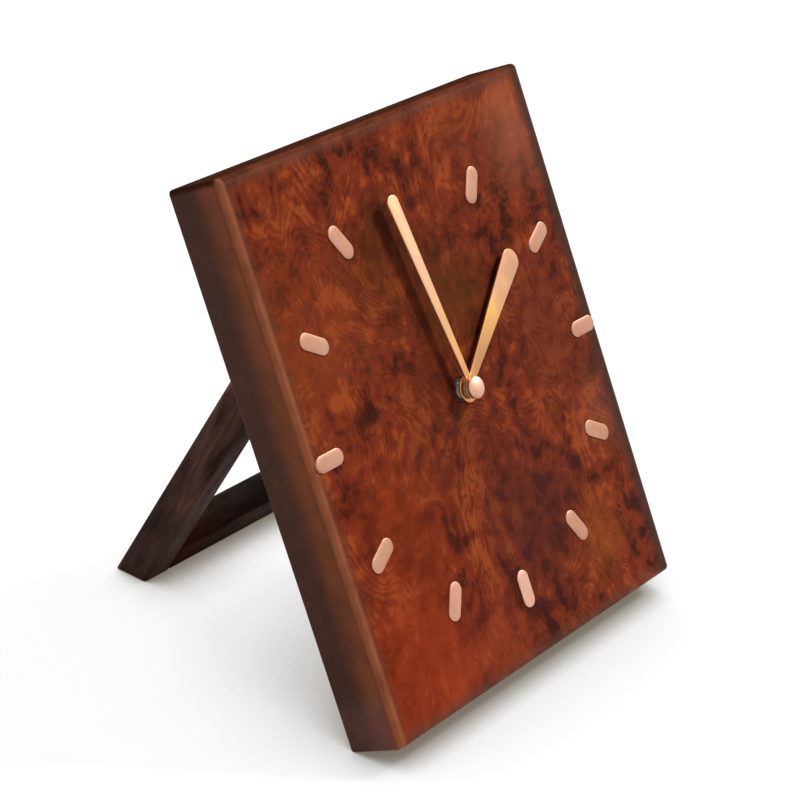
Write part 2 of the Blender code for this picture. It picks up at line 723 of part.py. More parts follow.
def build_case_shell(frame, finishes):
    """The movement's front shell: tray, front bush, bearings, posts and battery wall."""
    shell = finish(
        prism(rectangle(-CASE_HALF, CASE_HALF, CASE_LOW, CASE_HIGH), CASE_FRONT, WALL_BACK),
        "case_shell",
        frame,
        finishes["case"],
    )
    room = rectangle(-ROOM_HALF, ROOM_HALF, ROOM_LOW, ROOM_HIGH)
    combine(shell, prism(room, FLOOR_BACK, WALL_BACK + CUT_OVERRUN), "DIFFERENCE")
    root = FLOOR_BACK - CASE_FLOOR / 2
    bearing = ARBOR_RADIUS + RUNNING_GAP
    bearing_top = FLOOR_BACK + BEARING_HEIGHT
    knob_bearing = KNOB_ARBOR_RADIUS + RUNNING_GAP
    added = rod(BUSH_RADIUS, BUSH_RECESS, root, FINE_SIDES)
    for axis in (THIRD_AXIS, INTERMEDIATE_AXIS, ROTOR_AXIS):
        add_rod(added, bearing + BEARING_WALL, root, bearing_top, SMALL_SIDES, axis)
    add_rod(added, knob_bearing + BEARING_WALL, root, bearing_top, SMALL_SIDES, KNOB_AXIS)
    add_rod(added, ARBOR_RADIUS, root, CENTRE_LAYER - FIT_GAP, PIVOT_SIDES, MINUTE_WHEEL_AXIS)
    for place in motor_posts():
        add_rod(added, MOTOR_POST_RADIUS, root, CORE_FRONT - FIT_GAP, SMALL_SIDES, place)
    for place in circuit_posts():
        add_rod(added, CIRCUIT_POST_RADIUS, root, CIRCUIT_FRONT - FIT_GAP, SMALL_SIDES, place)
    wall_end = ROOM_HALF - BAY_WALL_END_GAP
    add_prism(added, rectangle(-wall_end, wall_end, BAY_WALL_LOW, BAY_WALL_HIGH), root, WALL_BACK)
    combine(shell, added, "UNION")
    bores = rod(BUSH_BORE, BUSH_RECESS - CUT_OVERRUN, FLOOR_BACK + CUT_OVERRUN, ROUND_SIDES)
    bore_bottom = ARBOR_FRONT - FIT_GAP
    for axis in (THIRD_AXIS, INTERMEDIATE_AXIS, ROTOR_AXIS):
        add_rod(bores, bearing, bore_bottom, bearing_top + CUT_OVERRUN, PIVOT_SIDES, axis)
    add_rod(bores, knob_bearing, bore_bottom, bearing_top + CUT_OVERRUN, SMALL_SIDES, KNOB_AXIS)
    combine(shell, bores, "DIFFERENCE")


def build_case_cover(frame, finishes):
    """The movement's rear cover: plate, locating lip, rear bearings and knob hole."""
    cover = finish(
        prism(rectangle(-CASE_HALF, CASE_HALF, BAY_WALL_LOW, CASE_HIGH), COVER_FRONT, CASE_BACK),
        "case_cover",
        frame,
        finishes["case"],
    )
    root = COVER_FRONT + COVER_THICKNESS / 2
    outer = ROOM_HALF - FIT_GAP
    low = BAY_WALL_HIGH + FIT_GAP
    high = ROOM_HIGH - FIT_GAP
    lip_front = COVER_FRONT - COVER_LIP_HEIGHT
    combine(cover, prism(rectangle(-outer, outer, low, high), lip_front, root), "UNION")
    inner = outer - COVER_LIP_WALL
    room = rectangle(-inner, inner, low + COVER_LIP_WALL, high - COVER_LIP_WALL)
    combine(cover, prism(room, lip_front - CUT_OVERRUN, COVER_FRONT), "DIFFERENCE")
    bearing = ARBOR_RADIUS + RUNNING_GAP
    bearing_front = COVER_FRONT - COVER_BEARING_HEIGHT
    axes = (HAND_AXIS, THIRD_AXIS, INTERMEDIATE_AXIS, ROTOR_AXIS)
    added = bmesh.new()
    bores = bmesh.new()
    for axis in axes:
        add_rod(added, bearing + BEARING_WALL, bearing_front, root, SMALL_SIDES, axis)
        add_rod(
            bores,
            bearing,
            bearing_front - CUT_OVERRUN,
            ARBOR_BACK + FIT_GAP,
            PIVOT_SIDES,
            axis,
        )
    add_rod(
        bores,
        KNOB_ARBOR_RADIUS + RUNNING_GAP,
        COVER_FRONT - CUT_OVERRUN,
        CASE_BACK + CUT_OVERRUN,
        SMALL_SIDES,
        KNOB_AXIS,
    )
    combine(cover, added, "UNION")
    combine(cover, bores, "DIFFERENCE")


def build_motor(frame, finishes):
    """The stepping motor's fixed pieces: stator, coil core, bobbin and winding."""
    rotor_x, rotor_z = ROTOR_AXIS
    arm = STATOR_ARM_HEIGHT / 2
    top = COIL_HEIGHT + COIL_CORE_HEIGHT / 2
    inner_left = STATOR_LEFT + STATOR_LEG_WIDTH
    inner_right = STATOR_RIGHT - STATOR_LEG_WIDTH
    outline = [
        (STATOR_LEFT, rotor_z - arm),
        (STATOR_RIGHT, rotor_z - arm),
        (STATOR_RIGHT, top),
        (inner_right, top),
        (inner_right, rotor_z + arm),
        (inner_left, rotor_z + arm),
        (inner_left, top),
        (STATOR_LEFT, top),
    ]
    stator_back = STATOR_FRONT + STATOR_THICKNESS
    stator = finish(prism(outline, STATOR_FRONT, stator_back), "stator", frame, finishes["steel"])
    hole = MAGNET_RADIUS + STATOR_AIR_GAP
    ring = rod(hole + STATOR_RING_WALL, STATOR_FRONT, stator_back, FINE_SIDES, ROTOR_AXIS)
    combine(stator, ring, "UNION")
    combine(
        stator,
        rod(hole, STATOR_FRONT - CUT_OVERRUN, stator_back + CUT_OVERRUN, ROUND_SIDES, ROTOR_AXIS),
        "DIFFERENCE",
    )
    core_back = CORE_FRONT + STATOR_THICKNESS
    low = COIL_HEIGHT - COIL_CORE_HEIGHT / 2
    finish(
        prism(rectangle(STATOR_LEFT, STATOR_RIGHT, low, top), CORE_FRONT, core_back),
        "coil_core",
        frame,
        finishes["steel"],
    )
    build_coil(frame, finishes, inner_left + BOBBIN_LEG_GAP, inner_right - BOBBIN_LEG_GAP)


def around_core(allowance):
    """The coil core's section grown by an allowance, as (y, z) points."""
    half_depth = STATOR_THICKNESS / 2 + allowance
    half_height = COIL_CORE_HEIGHT / 2 + allowance
    return rectangle(
        COIL_DEPTH - half_depth,
        COIL_DEPTH + half_depth,
        COIL_HEIGHT - half_height,
        COIL_HEIGHT + half_height,
    )


def build_coil(frame, finishes, left, right):
    """The flanged bobbin on the core and the winding between its flanges."""
    centre = (COIL_DEPTH, COIL_HEIGHT)
    body = around_core(FIT_GAP + BOBBIN_WALL)
    bobbin = finish(prism(body, left, right, "x"), "coil_bobbin", frame, finishes["gear"])
    flanges = bmesh.new()
    rim = circle(COIL_RADIUS + BOBBIN_FLANGE_RISE, ROUND_SIDES, centre)
    add_prism(flanges, rim, left, left + BOBBIN_FLANGE, "x")
    add_prism(flanges, rim, right - BOBBIN_FLANGE, right, "x")
    combine(bobbin, flanges, "UNION")
    bore = prism(around_core(FIT_GAP), left - CUT_OVERRUN, right + CUT_OVERRUN, "x")
    combine(bobbin, bore, "DIFFERENCE")
    start = left + BOBBIN_FLANGE + FIT_GAP
    end = right - BOBBIN_FLANGE - FIT_GAP
    winding = finish(
        prism(circle(COIL_RADIUS, ROUND_SIDES, centre), start, end, "x"),
        "coil_winding",
        frame,
        finishes["copper"],
    )
    bore = around_core(2 * FIT_GAP + BOBBIN_WALL)
    combine(winding, prism(bore, start - CUT_OVERRUN, end + CUT_OVERRUN, "x"), "DIFFERENCE")


def build_train(frame, finishes):
    """The going train: rotor, intermediate, seconds, third and centre wheels."""
    intermediate_turn = meshed_turn(
        0, SECONDS_TEETH, INTERMEDIATE_BEARING, INTERMEDIATE_PINION_TEETH
    )
    rotor_turn = meshed_turn(intermediate_turn, INTERMEDIATE_TEETH, ROTOR_BEARING, ROTOR_TEETH)
    third_turn = meshed_turn(0, SECONDS_PINION_TEETH, THIRD_BEARING, THIRD_TEETH)
    centre_turn = meshed_turn(
        third_turn, THIRD_PINION_TEETH, THIRD_BEARING + math.pi, CENTRE_TEETH
    )
    magnet_back = MAGNET_FRONT + MAGNET_THICKNESS
    rotor = finish(
        rod(MAGNET_RADIUS, MAGNET_FRONT, magnet_back, ROUND_SIDES),
        "rotor",
        frame,
        finishes["steel"],
        (ROTOR_AXIS[0], 0, ROTOR_AXIS[1]),
        (0, rotor_turn, 0),
    )
    pinion_end = MAGNET_FRONT + MAGNET_THICKNESS / 2
    combine(
        rotor,
        prism(pinion_outline(ROTOR_TEETH, ROTOR_MODULE), INTERMEDIATE_LAYER, pinion_end),
        "UNION",
    )
    combine(rotor, rod(ARBOR_RADIUS, ARBOR_FRONT, ARBOR_BACK, PIVOT_SIDES), "UNION")
    build_wheel(
        frame,
        finishes,
        "intermediate_wheel",
        INTERMEDIATE_AXIS,
        intermediate_turn,
        wheel_outline(INTERMEDIATE_TEETH, ROTOR_MODULE),
        INTERMEDIATE_LAYER,
        pinion_outline(INTERMEDIATE_PINION_TEETH, INTERMEDIATE_MODULE),
        SECONDS_LAYER,
        (ARBOR_RADIUS, ARBOR_FRONT),
    )
    build_wheel(
        frame,
        finishes,
        "seconds_wheel",
        HAND_AXIS,
        0,
        wheel_outline(SECONDS_TEETH, INTERMEDIATE_MODULE),
        SECONDS_LAYER,
        pinion_outline(SECONDS_PINION_TEETH, THIRD_MODULE),
        THIRD_LAYER,
        (SECONDS_ARBOR_RADIUS, PIPE_FRONT),
    )
    build_wheel(
        frame,
        finishes,
        "third_wheel",
        THIRD_AXIS,
        third_turn,
        wheel_outline(THIRD_TEETH, THIRD_MODULE),
        THIRD_LAYER,
        pinion_outline(THIRD_PINION_TEETH, CENTRE_MODULE),
        CENTRE_LAYER,
        (ARBOR_RADIUS, ARBOR_FRONT),
    )
    centre_back = CENTRE_LAYER + WHEEL_THICKNESS
    centre = finish(
        prism(wheel_outline(CENTRE_TEETH, CENTRE_MODULE), CENTRE_LAYER, centre_back),
        "centre_wheel",
        frame,
        finishes["gear"],
        turn=(0, centre_turn, 0),
    )
    bore = rod(
        MINUTE_PIPE_RADIUS + RUNNING_GAP,
        CENTRE_LAYER - CUT_OVERRUN,
        centre_back + CUT_OVERRUN,
        SMALL_SIDES,
    )
    combine(centre, bore, "DIFFERENCE")


def build_wheel(
    frame, finishes, name, axis, turn, wheel, wheel_front, pinion, pinion_front, arbor
):
    """A wheel with its pinion in front of it, on an arbor of (radius, front end)."""
    wheel_back = wheel_front + WHEEL_THICKNESS
    made = finish(
        prism(wheel, wheel_front, wheel_back),
        name,
        frame,
        finishes["gear"],
        (axis[0], 0, axis[1]),
        (0, turn, 0),
    )
    combine(made, prism(pinion, pinion_front, wheel_front + WHEEL_THICKNESS / 2), "UNION")
    combine(made, rod(arbor[0], arbor[1], ARBOR_BACK, PIVOT_SIDES), "UNION")


def build_motion_work(frame, finishes):
    """The minute pipe, minute wheel, hour wheel and the setting knob that turns them."""
    pipe = finish(
        rod(MINUTE_PIPE_RADIUS, PIPE_FRONT, CENTRE_LAYER + WHEEL_THICKNESS, SMALL_SIDES),
        "minute_pipe",
        frame,
        finishes["gear"],
    )
    layer_back = MOTION_LAYER + WHEEL_THICKNESS
    cannon = pinion_outline(CANNON_TEETH, MOTION_MODULE)
    combine(pipe, prism(cannon, MOTION_LAYER, layer_back), "UNION")
    pipe_bore = rod(
        MINUTE_PIPE_BORE,
        PIPE_FRONT - CUT_OVERRUN,
        CENTRE_LAYER + WHEEL_THICKNESS + CUT_OVERRUN,
        PIVOT_SIDES,
    )
    combine(pipe, pipe_bore, "DIFFERENCE")

    wheel_turn = meshed_turn(0, CANNON_TEETH, MINUTE_WHEEL_BEARING, MINUTE_WHEEL_TEETH)
    wheel = finish(
        prism(wheel_outline(MINUTE_WHEEL_TEETH, MOTION_MODULE), MOTION_LAYER, layer_back),
        "minute_wheel",
        frame,
        finishes["gear"],
        (MINUTE_WHEEL_AXIS[0], 0, MINUTE_WHEEL_AXIS[1]),
        (0, wheel_turn, 0),
    )
    pinion = pinion_outline(MINUTE_PINION_TEETH, HOUR_MODULE)
    combine(wheel, prism(pinion, HOUR_LAYER, MOTION_LAYER + WHEEL_THICKNESS / 2), "UNION")
    wheel_bore = rod(
        ARBOR_RADIUS + RUNNING_GAP,
        HOUR_LAYER - CUT_OVERRUN,
        layer_back + CUT_OVERRUN,
        PIVOT_SIDES,
    )
    combine(wheel, wheel_bore, "DIFFERENCE")

    hour_turn = meshed_turn(
        wheel_turn, MINUTE_PINION_TEETH, MINUTE_WHEEL_BEARING + math.pi, HOUR_TEETH
    )
    hour_back = HOUR_LAYER + WHEEL_THICKNESS
    hour = finish(
        prism(wheel_outline(HOUR_TEETH, HOUR_MODULE), HOUR_LAYER, hour_back),
        "hour_wheel",
        frame,
        finishes["gear"],
        turn=(0, hour_turn, 0),
    )
    pipe_end = HOUR_LAYER + WHEEL_THICKNESS / 2
    combine(hour, rod(HOUR_PIPE_RADIUS, HOUR_HAND_FRONT, pipe_end, ROUND_SIDES), "UNION")
    hour_bore = rod(
        HOUR_PIPE_BORE, HOUR_HAND_FRONT - CUT_OVERRUN, hour_back + CUT_OVERRUN, SMALL_SIDES
    )
    combine(hour, hour_bore, "DIFFERENCE")
    build_knob(frame, finishes, wheel_turn)


def build_knob(frame, finishes, wheel_turn):
    """The ridged setting knob, its arbor and the pinion in mesh with the minute wheel."""
    turn = meshed_turn(wheel_turn, MINUTE_WHEEL_TEETH, SETTING_BEARING, SETTING_TEETH)
    ridges = []
    for step in range(2 * KNOB_RIDGES):
        radius = KNOB_RADIUS if step % 2 == 0 else KNOB_RADIUS - KNOB_RIDGE_DEPTH
        angle = math.pi * step / KNOB_RIDGES
        ridges.append((radius * math.sin(angle), radius * math.cos(angle)))
    front = CASE_BACK + KNOB_LIFT
    knob = finish(
        prism(ridges, front, front + KNOB_THICKNESS),
        "setting_knob",
        frame,
        finishes["case"],
        (KNOB_AXIS[0], 0, KNOB_AXIS[1]),
        (0, turn, 0),
    )
    arbor_end = front + KNOB_THICKNESS / 2
    combine(knob, rod(KNOB_ARBOR_RADIUS, ARBOR_FRONT, arbor_end, SMALL_SIDES), "UNION")
    pinion = pinion_outline(SETTING_TEETH, MOTION_MODULE)
    combine(knob, prism(pinion, MOTION_LAYER, MOTION_LAYER + WHEEL_THICKNESS), "UNION")


def strip_outline(points, thickness):
    """The outline of a thin strip bent along points, mitred at its bends."""
    one_side = []
    other_side = []
    for before, (x, z), after in zip(points[:1] + points, points, points[1:] + points[-1:]):
        normals = []
        for start, end in ((before, (x, z)), ((x, z), after)):
            run = (end[0] - start[0], end[1] - start[1])
            length = math.hypot(*run)
            if length > 0:
                normals.append((-run[1] / length, run[0] / length))
        first, last = normals[0], normals[-1]
        spread = 1 + first[0] * last[0] + first[1] * last[1]
        shift = ((first[0] + last[0]) / spread, (first[1] + last[1]) / spread)
        reach = thickness / 2
        one_side.append((x + reach * shift[0], z + reach * shift[1]))
        other_side.append((x - reach * shift[0], z - reach * shift[1]))
    return one_side + other_side[::-1]


def build_electrics(frame, finishes):
    """The circuit board, crystal can, battery contacts and battery."""
    circuit_back = CIRCUIT_FRONT + CIRCUIT_THICKNESS
    finish(
        prism(
            rectangle(CIRCUIT_LEFT, CIRCUIT_RIGHT, CIRCUIT_LOW, CIRCUIT_HIGH),
            CIRCUIT_FRONT,
            circuit_back,
        ),
        "circuit_board",
        frame,
        finishes["circuit"],
    )
    crystal = (circuit_back + FIT_GAP + CRYSTAL_RADIUS, CIRCUIT_HIGH - CRYSTAL_DROP)
    crystal_left = (CIRCUIT_LEFT + CIRCUIT_RIGHT - CRYSTAL_LENGTH) / 2
    finish(
        prism(
            circle(CRYSTAL_RADIUS, SMALL_SIDES, crystal),
            crystal_left,
            crystal_left + CRYSTAL_LENGTH,
            "x",
        ),
        "crystal_can",
        frame,
        finishes["steel"],
    )
    half = CONTACT_THICKNESS / 2
    wall = ROOM_HALF - FIT_GAP - half
    negative = CELL_LENGTH / 2 + FIT_GAP + half
    positive = negative + CELL_BUTTON_HEIGHT
    low = CELL_HEIGHT - CONTACT_SPRING_HALF
    high = CELL_HEIGHT + CONTACT_SPRING_HALF
    run = BAY_WALL_HIGH + FIT_GAP + half
    tail = CIRCUIT_RIGHT - CONTACT_TAIL
    paths = {
        "contact_negative": [
            (-wall, low),
            (-negative, CELL_HEIGHT),
            (-wall, high),
            (-wall, CIRCUIT_LOW + CONTACT_RISE_ON_BOARD),
        ],
        "contact_positive": [
            (wall, low),
            (positive, CELL_HEIGHT),
            (wall, high),
            (wall, run),
            (tail, run),
            (tail, CIRCUIT_LOW - FIT_GAP),
        ],
    }
    front = CELL_DEPTH - CONTACT_WIDTH / 2
    for name, path in paths.items():
        outline = strip_outline(path, CONTACT_THICKNESS)
        finish(prism(outline, front, front + CONTACT_WIDTH), name, frame, finishes["brass"])
    centre = (CELL_DEPTH, CELL_HEIGHT)
    cell = finish(
        prism(circle(CELL_RADIUS, FINE_SIDES, centre), -CELL_LENGTH / 2, CELL_LENGTH / 2, "x"),
        "battery",
        frame,
        finishes["cell"],
    )
    button = prism(
        circle(CELL_BUTTON_DIAMETER / 2, SMALL_SIDES, centre),
        CELL_LENGTH / 2 - CUT_OVERRUN,
        CELL_LENGTH / 2 + CELL_BUTTON_HEIGHT,
        "x",
    )
    combine(cell, button, "UNION")


def wood_screw(top, inward, crown=0.0):
    """A screw's turned profile: its head's face lies at top, its point lies inward.

    A crown above zero gives a round head that stands on the surface; otherwise the head
    is a cone let in flush.
    """
    if crown > 0:
        seat = top + inward * CLIP_SCREW_HEAD_HEIGHT
        start = [
            (0, top),
            (CLIP_SCREW_HEAD_RADIUS - crown, top),
            (CLIP_SCREW_HEAD_RADIUS, top + inward * crown),
            (CLIP_SCREW_HEAD_RADIUS, seat),
            (SCREW_SHANK_RADIUS, seat),
        ]
    else:
        seat = top
        start = [
            (0, top),
            (SCREW_HEAD_RADIUS, top),
            (SCREW_SHANK_RADIUS, top + inward * SCREW_HEAD_CONE),
        ]
    end = seat + inward * SCREW_LENGTH
    return start + [(SCREW_SHANK_RADIUS, end - inward * SCREW_TIP), (0, end)]


def build_clips(frame, finishes):
    """Two flat clips screwed to the board, which reach over the movement's edges."""
    front = BOARD_THICKNESS + FIT_GAP
    back = front + CLIP_THICKNESS
    half = CLIP_WIDTH / 2
    inner = CASE_HALF - CLIP_OVERLAP
    outer = CASE_HALF + CLIP_FOOT
    profile = wood_screw(back + FIT_GAP + CLIP_SCREW_HEAD_HEIGHT, -1, CLIP_SCREW_HEAD_CROWN)
    for side, name in ((-1, "left"), (1, "right")):
        outline = [
            (side * (inner + CLIP_CORNER), CLIP_HEIGHT_ON_DIAL - half),
            (side * (outer - CLIP_CORNER), CLIP_HEIGHT_ON_DIAL - half),
            (side * outer, CLIP_HEIGHT_ON_DIAL - half + CLIP_CORNER),
            (side * outer, CLIP_HEIGHT_ON_DIAL + half - CLIP_CORNER),
            (side * (outer - CLIP_CORNER), CLIP_HEIGHT_ON_DIAL + half),
            (side * (inner + CLIP_CORNER), CLIP_HEIGHT_ON_DIAL + half),
            (side * inner, CLIP_HEIGHT_ON_DIAL + half - CLIP_CORNER),
            (side * inner, CLIP_HEIGHT_ON_DIAL - half + CLIP_CORNER),
        ]
        clip = finish(prism(outline, front, back), f"case_clip_{name}", frame, finishes["brass"])
        place = (side * CLIP_SCREW_X, CLIP_HEIGHT_ON_DIAL)
        hole = rod(
            SCREW_SHANK_RADIUS + FIT_GAP,
            front - CUT_OVERRUN,
            back + CUT_OVERRUN,
            SMALL_SIDES,
            place,
        )
        combine(clip, hole, "DIFFERENCE")
        finish(
            add_turned(bmesh.new(), profile, SMALL_SIDES),
            f"clip_screw_{name}",
            frame,
            finishes["brass"],
            (place[0], 0, place[1]),
        )


def leaf_outline(side):
    """A hinge leaf's section about the pin, as (y, z): a plate hanging from a barrel.

    side is -1 for the plate on the board and 1 for the plate on the stand.
    """
    outer = HINGE_LIFT - FIT_GAP
    inner = outer - HINGE_LEAF_THICKNESS
    start = -math.acos(inner / HINGE_BARREL_RADIUS)
    points = []
    for step in range(SMALL_SIDES + 1):
        angle = start + (-math.tau - start) * step / SMALL_SIDES
        points.append(
            (
                side * HINGE_BARREL_RADIUS * math.cos(angle),
                HINGE_BARREL_RADIUS * math.sin(angle),
            )
        )
    points.append((side * outer, -HINGE_LEAF_LENGTH))
    points.append((side * inner, -HINGE_LEAF_LENGTH))
    return points


def countersink(bm, top, inward, place):
    """A cutter for a flush screw through a plate, grown by the fitting gap."""
    head = SCREW_HEAD_RADIUS + FIT_GAP
    shank = SCREW_SHANK_RADIUS + FIT_GAP
    profile = [
        (0, top - inward * CUT_OVERRUN),
        (head, top - inward * CUT_OVERRUN),
        (head, top),
        (shank, top + inward * SCREW_HEAD_CONE),
        (shank, top + inward * (HINGE_LEAF_THICKNESS + CUT_OVERRUN)),
        (0, top + inward * (HINGE_LEAF_THICKNESS + CUT_OVERRUN)),
    ]
    return add_turned(bm, profile, SMALL_SIDES, place)


def build_leaf(name, parent, place, side, finishes):
    """One leaf: its plate, its knuckles, the pin's bore and two countersunk holes."""
    half = HINGE_WIDTH / 2
    middle = HINGE_KNUCKLE_SHARE * half
    clear = HINGE_BARREL_RADIUS + FIT_GAP
    leaf = finish(
        prism(leaf_outline(side), -half, half, "x"), name, parent, finishes["brass"], place
    )
    gap_outline = rectangle(-clear, clear, -clear, clear)
    gaps = bmesh.new()
    if side < 0:
        add_prism(gaps, gap_outline, -middle - FIT_GAP, middle + FIT_GAP, "x")
    else:
        add_prism(gaps, gap_outline, -half - CUT_OVERRUN, -middle, "x")
        add_prism(gaps, gap_outline, middle, half + CUT_OVERRUN, "x")
    combine(leaf, gaps, "DIFFERENCE")
    bore = circle(HINGE_PIN_RADIUS + RUNNING_GAP, SMALL_SIDES)
    combine(leaf, prism(bore, -half - CUT_OVERRUN, half + CUT_OVERRUN, "x"), "DIFFERENCE")
    face = side * (HINGE_LIFT - FIT_GAP - HINGE_LEAF_THICKNESS)
    sinks = bmesh.new()
    for share in HINGE_SCREW_PLACE_SHARES:
        countersink(sinks, face, side, (0, -share * HINGE_LEAF_LENGTH))
    combine(leaf, sinks, "DIFFERENCE")
    profile = wood_screw(face, side)
    for number, share in enumerate(HINGE_SCREW_PLACE_SHARES, start=1):
        spot = (place[0], place[1], place[2] - share * HINGE_LEAF_LENGTH)
        finish(
            add_turned(bmesh.new(), profile, SMALL_SIDES),
            f"{name}_screw_{number}",
            parent,
            finishes["brass"],
            spot,
        )


def build_hinges(frame, stand_axis, finishes):
    """Two butt hinges between the back of the board and the stiles."""
    half = HINGE_WIDTH / 2
    for side, name in ((-1, "left"), (1, "right")):
        on_board = (side * HINGE_X, HINGE_Y, HINGE_ABOVE_DIAL)
        build_leaf(f"hinge_{name}_board_leaf", frame, on_board, -1, finishes)
        build_leaf(f"hinge_{name}_stand_leaf", stand_axis, (side * HINGE_X, 0, 0), 1, finishes)
        finish(
            prism(circle(HINGE_PIN_RADIUS, SMALL_SIDES), -half, half, "x"),
            f"hinge_{name}_pin",
            frame,
            finishes["brass"],
            on_board,
        )


def floor_at(depth):
    """The floor's height in the stand's frame, at a depth out from the hinge pin."""
    return -(HINGE_HEIGHT + math.sin(STAND_LEAN) * depth) / math.cos(STAND_LEAN)


def stop_at(depth):
    """The height of the bevel that rests on the board, at a depth out from the pin."""
    return (math.cos(OPEN_ANGLE) * depth + HINGE_LIFT - FIT_GAP) / math.sin(OPEN_ANGLE)


def round_long_edges(bm, length_axis):
    """Take the sharp corners off the edges that run along one axis of a bar."""
    picked = []
    for edge in bm.edges:
        run = edge.verts[1].co - edge.verts[0].co
        if abs(run[length_axis]) > STAND_BAR / 2 and abs(run[length_axis]) > run.length / 2:
            picked.append(edge)
    bmesh.ops.bevel(bm, geom=picked, offset=STAND_EDGE_ROUND, segments=1, affect="EDGES")
    return bm


def tenon_section(allowance=0.0):
    """The stub tenon's section in the middle of the foot rail, as (y, z) points."""
    depth = HINGE_LIFT + STAND_BAR / 2
    height = (floor_at(depth) + floor_at(HINGE_LIFT) + STAND_BAR) / 2
    half = TENON_SIDE / 2 + allowance
    return rectangle(depth - half, depth + half, height - half, height + half)


def build_stand(stand_axis, finishes):
    """The stand: two stiles and a foot rail that is tenoned between them."""
    inner = HINGE_LIFT
    outer = HINGE_LIFT + STAND_BAR
    half_width = STAND_WIDTH / 2
    between = half_width - STAND_BAR
    tenon_end = between - FIT_GAP + TENON_LENGTH
    outline = [
        (inner, floor_at(inner)),
        (outer, floor_at(outer)),
        (outer, stop_at(outer)),
        (inner, stop_at(inner)),
    ]
    for side, name in ((-1, "left"), (1, "right")):
        low, high = sorted((side * between, side * half_width))
        stile = finish(
            round_long_edges(prism(outline, low, high, "x"), 2),
            f"stand_stile_{name}",
            stand_axis,
            finishes["stand"],
        )
        ends = sorted((side * (between - CUT_OVERRUN), side * (tenon_end + FIT_GAP)))
        combine(stile, prism(tenon_section(FIT_GAP), *ends, "x"), "DIFFERENCE")
        holes = bmesh.new()
        for share in HINGE_SCREW_PLACE_SHARES:
            place = (side * HINGE_X, -share * HINGE_LEAF_LENGTH)
            add_rod(
                holes,
                SCREW_SHANK_RADIUS + FIT_GAP,
                inner - CUT_OVERRUN,
                inner + SCREW_LENGTH + FIT_GAP,
                SMALL_SIDES,
                place,
            )
        combine(stile, holes, "DIFFERENCE")
    rail_top = floor_at(inner) + STAND_BAR
    rail_outline = [
        (inner, floor_at(inner)),
        (outer, floor_at(outer)),
        (outer, rail_top),
        (inner, rail_top),
    ]
    reach = between - FIT_GAP
    rail = finish(
        round_long_edges(prism(rail_outline, -reach, reach, "x"), 0),
        "stand_foot_rail",
        stand_axis,
        finishes["stand"],
    )
    combine(rail, prism(tenon_section(), -tenon_end, tenon_end, "x"), "UNION")


def main():
    """Build the whole clock, standing open on the floor."""
    clear_scene()
    finishes = build_materials()
    frame = empty("clock_frame", None, (0, DIAL_Y, DIAL_HEIGHT), (-BOARD_LEAN, 0, 0))
    stand_axis = empty("stand_axis", frame, (0, HINGE_Y, HINGE_ABOVE_DIAL), (OPEN_ANGLE, 0, 0))
    build_board(frame, finishes)
    build_bars(frame, finishes)
    build_hand(
        frame,
        finishes,
        "hour_hand",
        (HOUR_HAND_LENGTH, HOUR_HAND_NECK_WIDTH, HOUR_HAND_END_WIDTH),
        HOUR_HAND_ANGLE,
        HOUR_HAND_FRONT,
        HOUR_PIPE_RADIUS,
    )
    build_hand(
        frame,
        finishes,
        "minute_hand",
        (MINUTE_HAND_LENGTH, MINUTE_HAND_NECK_WIDTH, MINUTE_HAND_END_WIDTH),
        MINUTE_HAND_ANGLE,
        MINUTE_HAND_FRONT,
        MINUTE_PIPE_RADIUS,
    )
    build_cap(frame, finishes)
    build_case_shell(frame, finishes)
    build_case_cover(frame, finishes)
    build_motor(frame, finishes)
    build_train(frame, finishes)
    build_motion_work(frame, finishes)
    build_electrics(frame, finishes)
    build_clips(frame, finishes)
    build_hinges(frame, stand_axis, finishes)
    build_stand(stand_axis, finishes)


main()
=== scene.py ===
"""Looks of a leaning wooden desk clock with a folding stand.

Each sub-assembly is a class that holds its sizes in metres, builds its surfaces and
dresses them. Most sizes are given in the dial's own frame: x across, y from the front
face into the board, z up the board, with its zero at the middle of the dial.
"""
import json
import logging
import math
from collections.abc import Callable, Sequence
from dataclasses import dataclass, replace
from enum import Enum
from functools import reduce

import bpy
import numpy as np
from mathutils import Matrix, Vector


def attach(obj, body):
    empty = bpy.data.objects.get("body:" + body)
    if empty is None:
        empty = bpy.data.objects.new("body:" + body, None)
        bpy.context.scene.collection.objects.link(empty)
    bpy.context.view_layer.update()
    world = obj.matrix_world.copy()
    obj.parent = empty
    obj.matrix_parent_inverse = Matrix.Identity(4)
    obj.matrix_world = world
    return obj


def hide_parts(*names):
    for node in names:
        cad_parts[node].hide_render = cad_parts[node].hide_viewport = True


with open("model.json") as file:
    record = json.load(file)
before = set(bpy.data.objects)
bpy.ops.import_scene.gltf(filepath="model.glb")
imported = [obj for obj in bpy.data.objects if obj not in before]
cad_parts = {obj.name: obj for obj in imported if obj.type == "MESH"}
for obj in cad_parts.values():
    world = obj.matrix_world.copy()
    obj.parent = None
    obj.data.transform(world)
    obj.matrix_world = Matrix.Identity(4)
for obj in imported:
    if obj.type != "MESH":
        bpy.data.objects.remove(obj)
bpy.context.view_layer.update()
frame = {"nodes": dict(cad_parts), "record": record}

LOG = logging.getLogger("desk_clock")

Colour = tuple[float, float, float, float]
Point = tuple[float, float, float]
Span = tuple[float, float]
Row = tuple[float, ...]
Spans = tuple[Span, ...]
Socket = bpy.types.NodeSocket
Inputs = dict[str | int, object]

WHITE: Colour = (1.0, 1.0, 1.0, 1.0)


def shown(red: float, green: float, blue: float) -> Colour:
    """Linear light of a screen's colour: ((v / 255 + 0.055) / 1.055) to the power of 2.4."""
    light = [(value / 255 + 0.055) / 1.055 for value in (red, green, blue)]
    return (*(value**2.4 for value in light), 1.0)


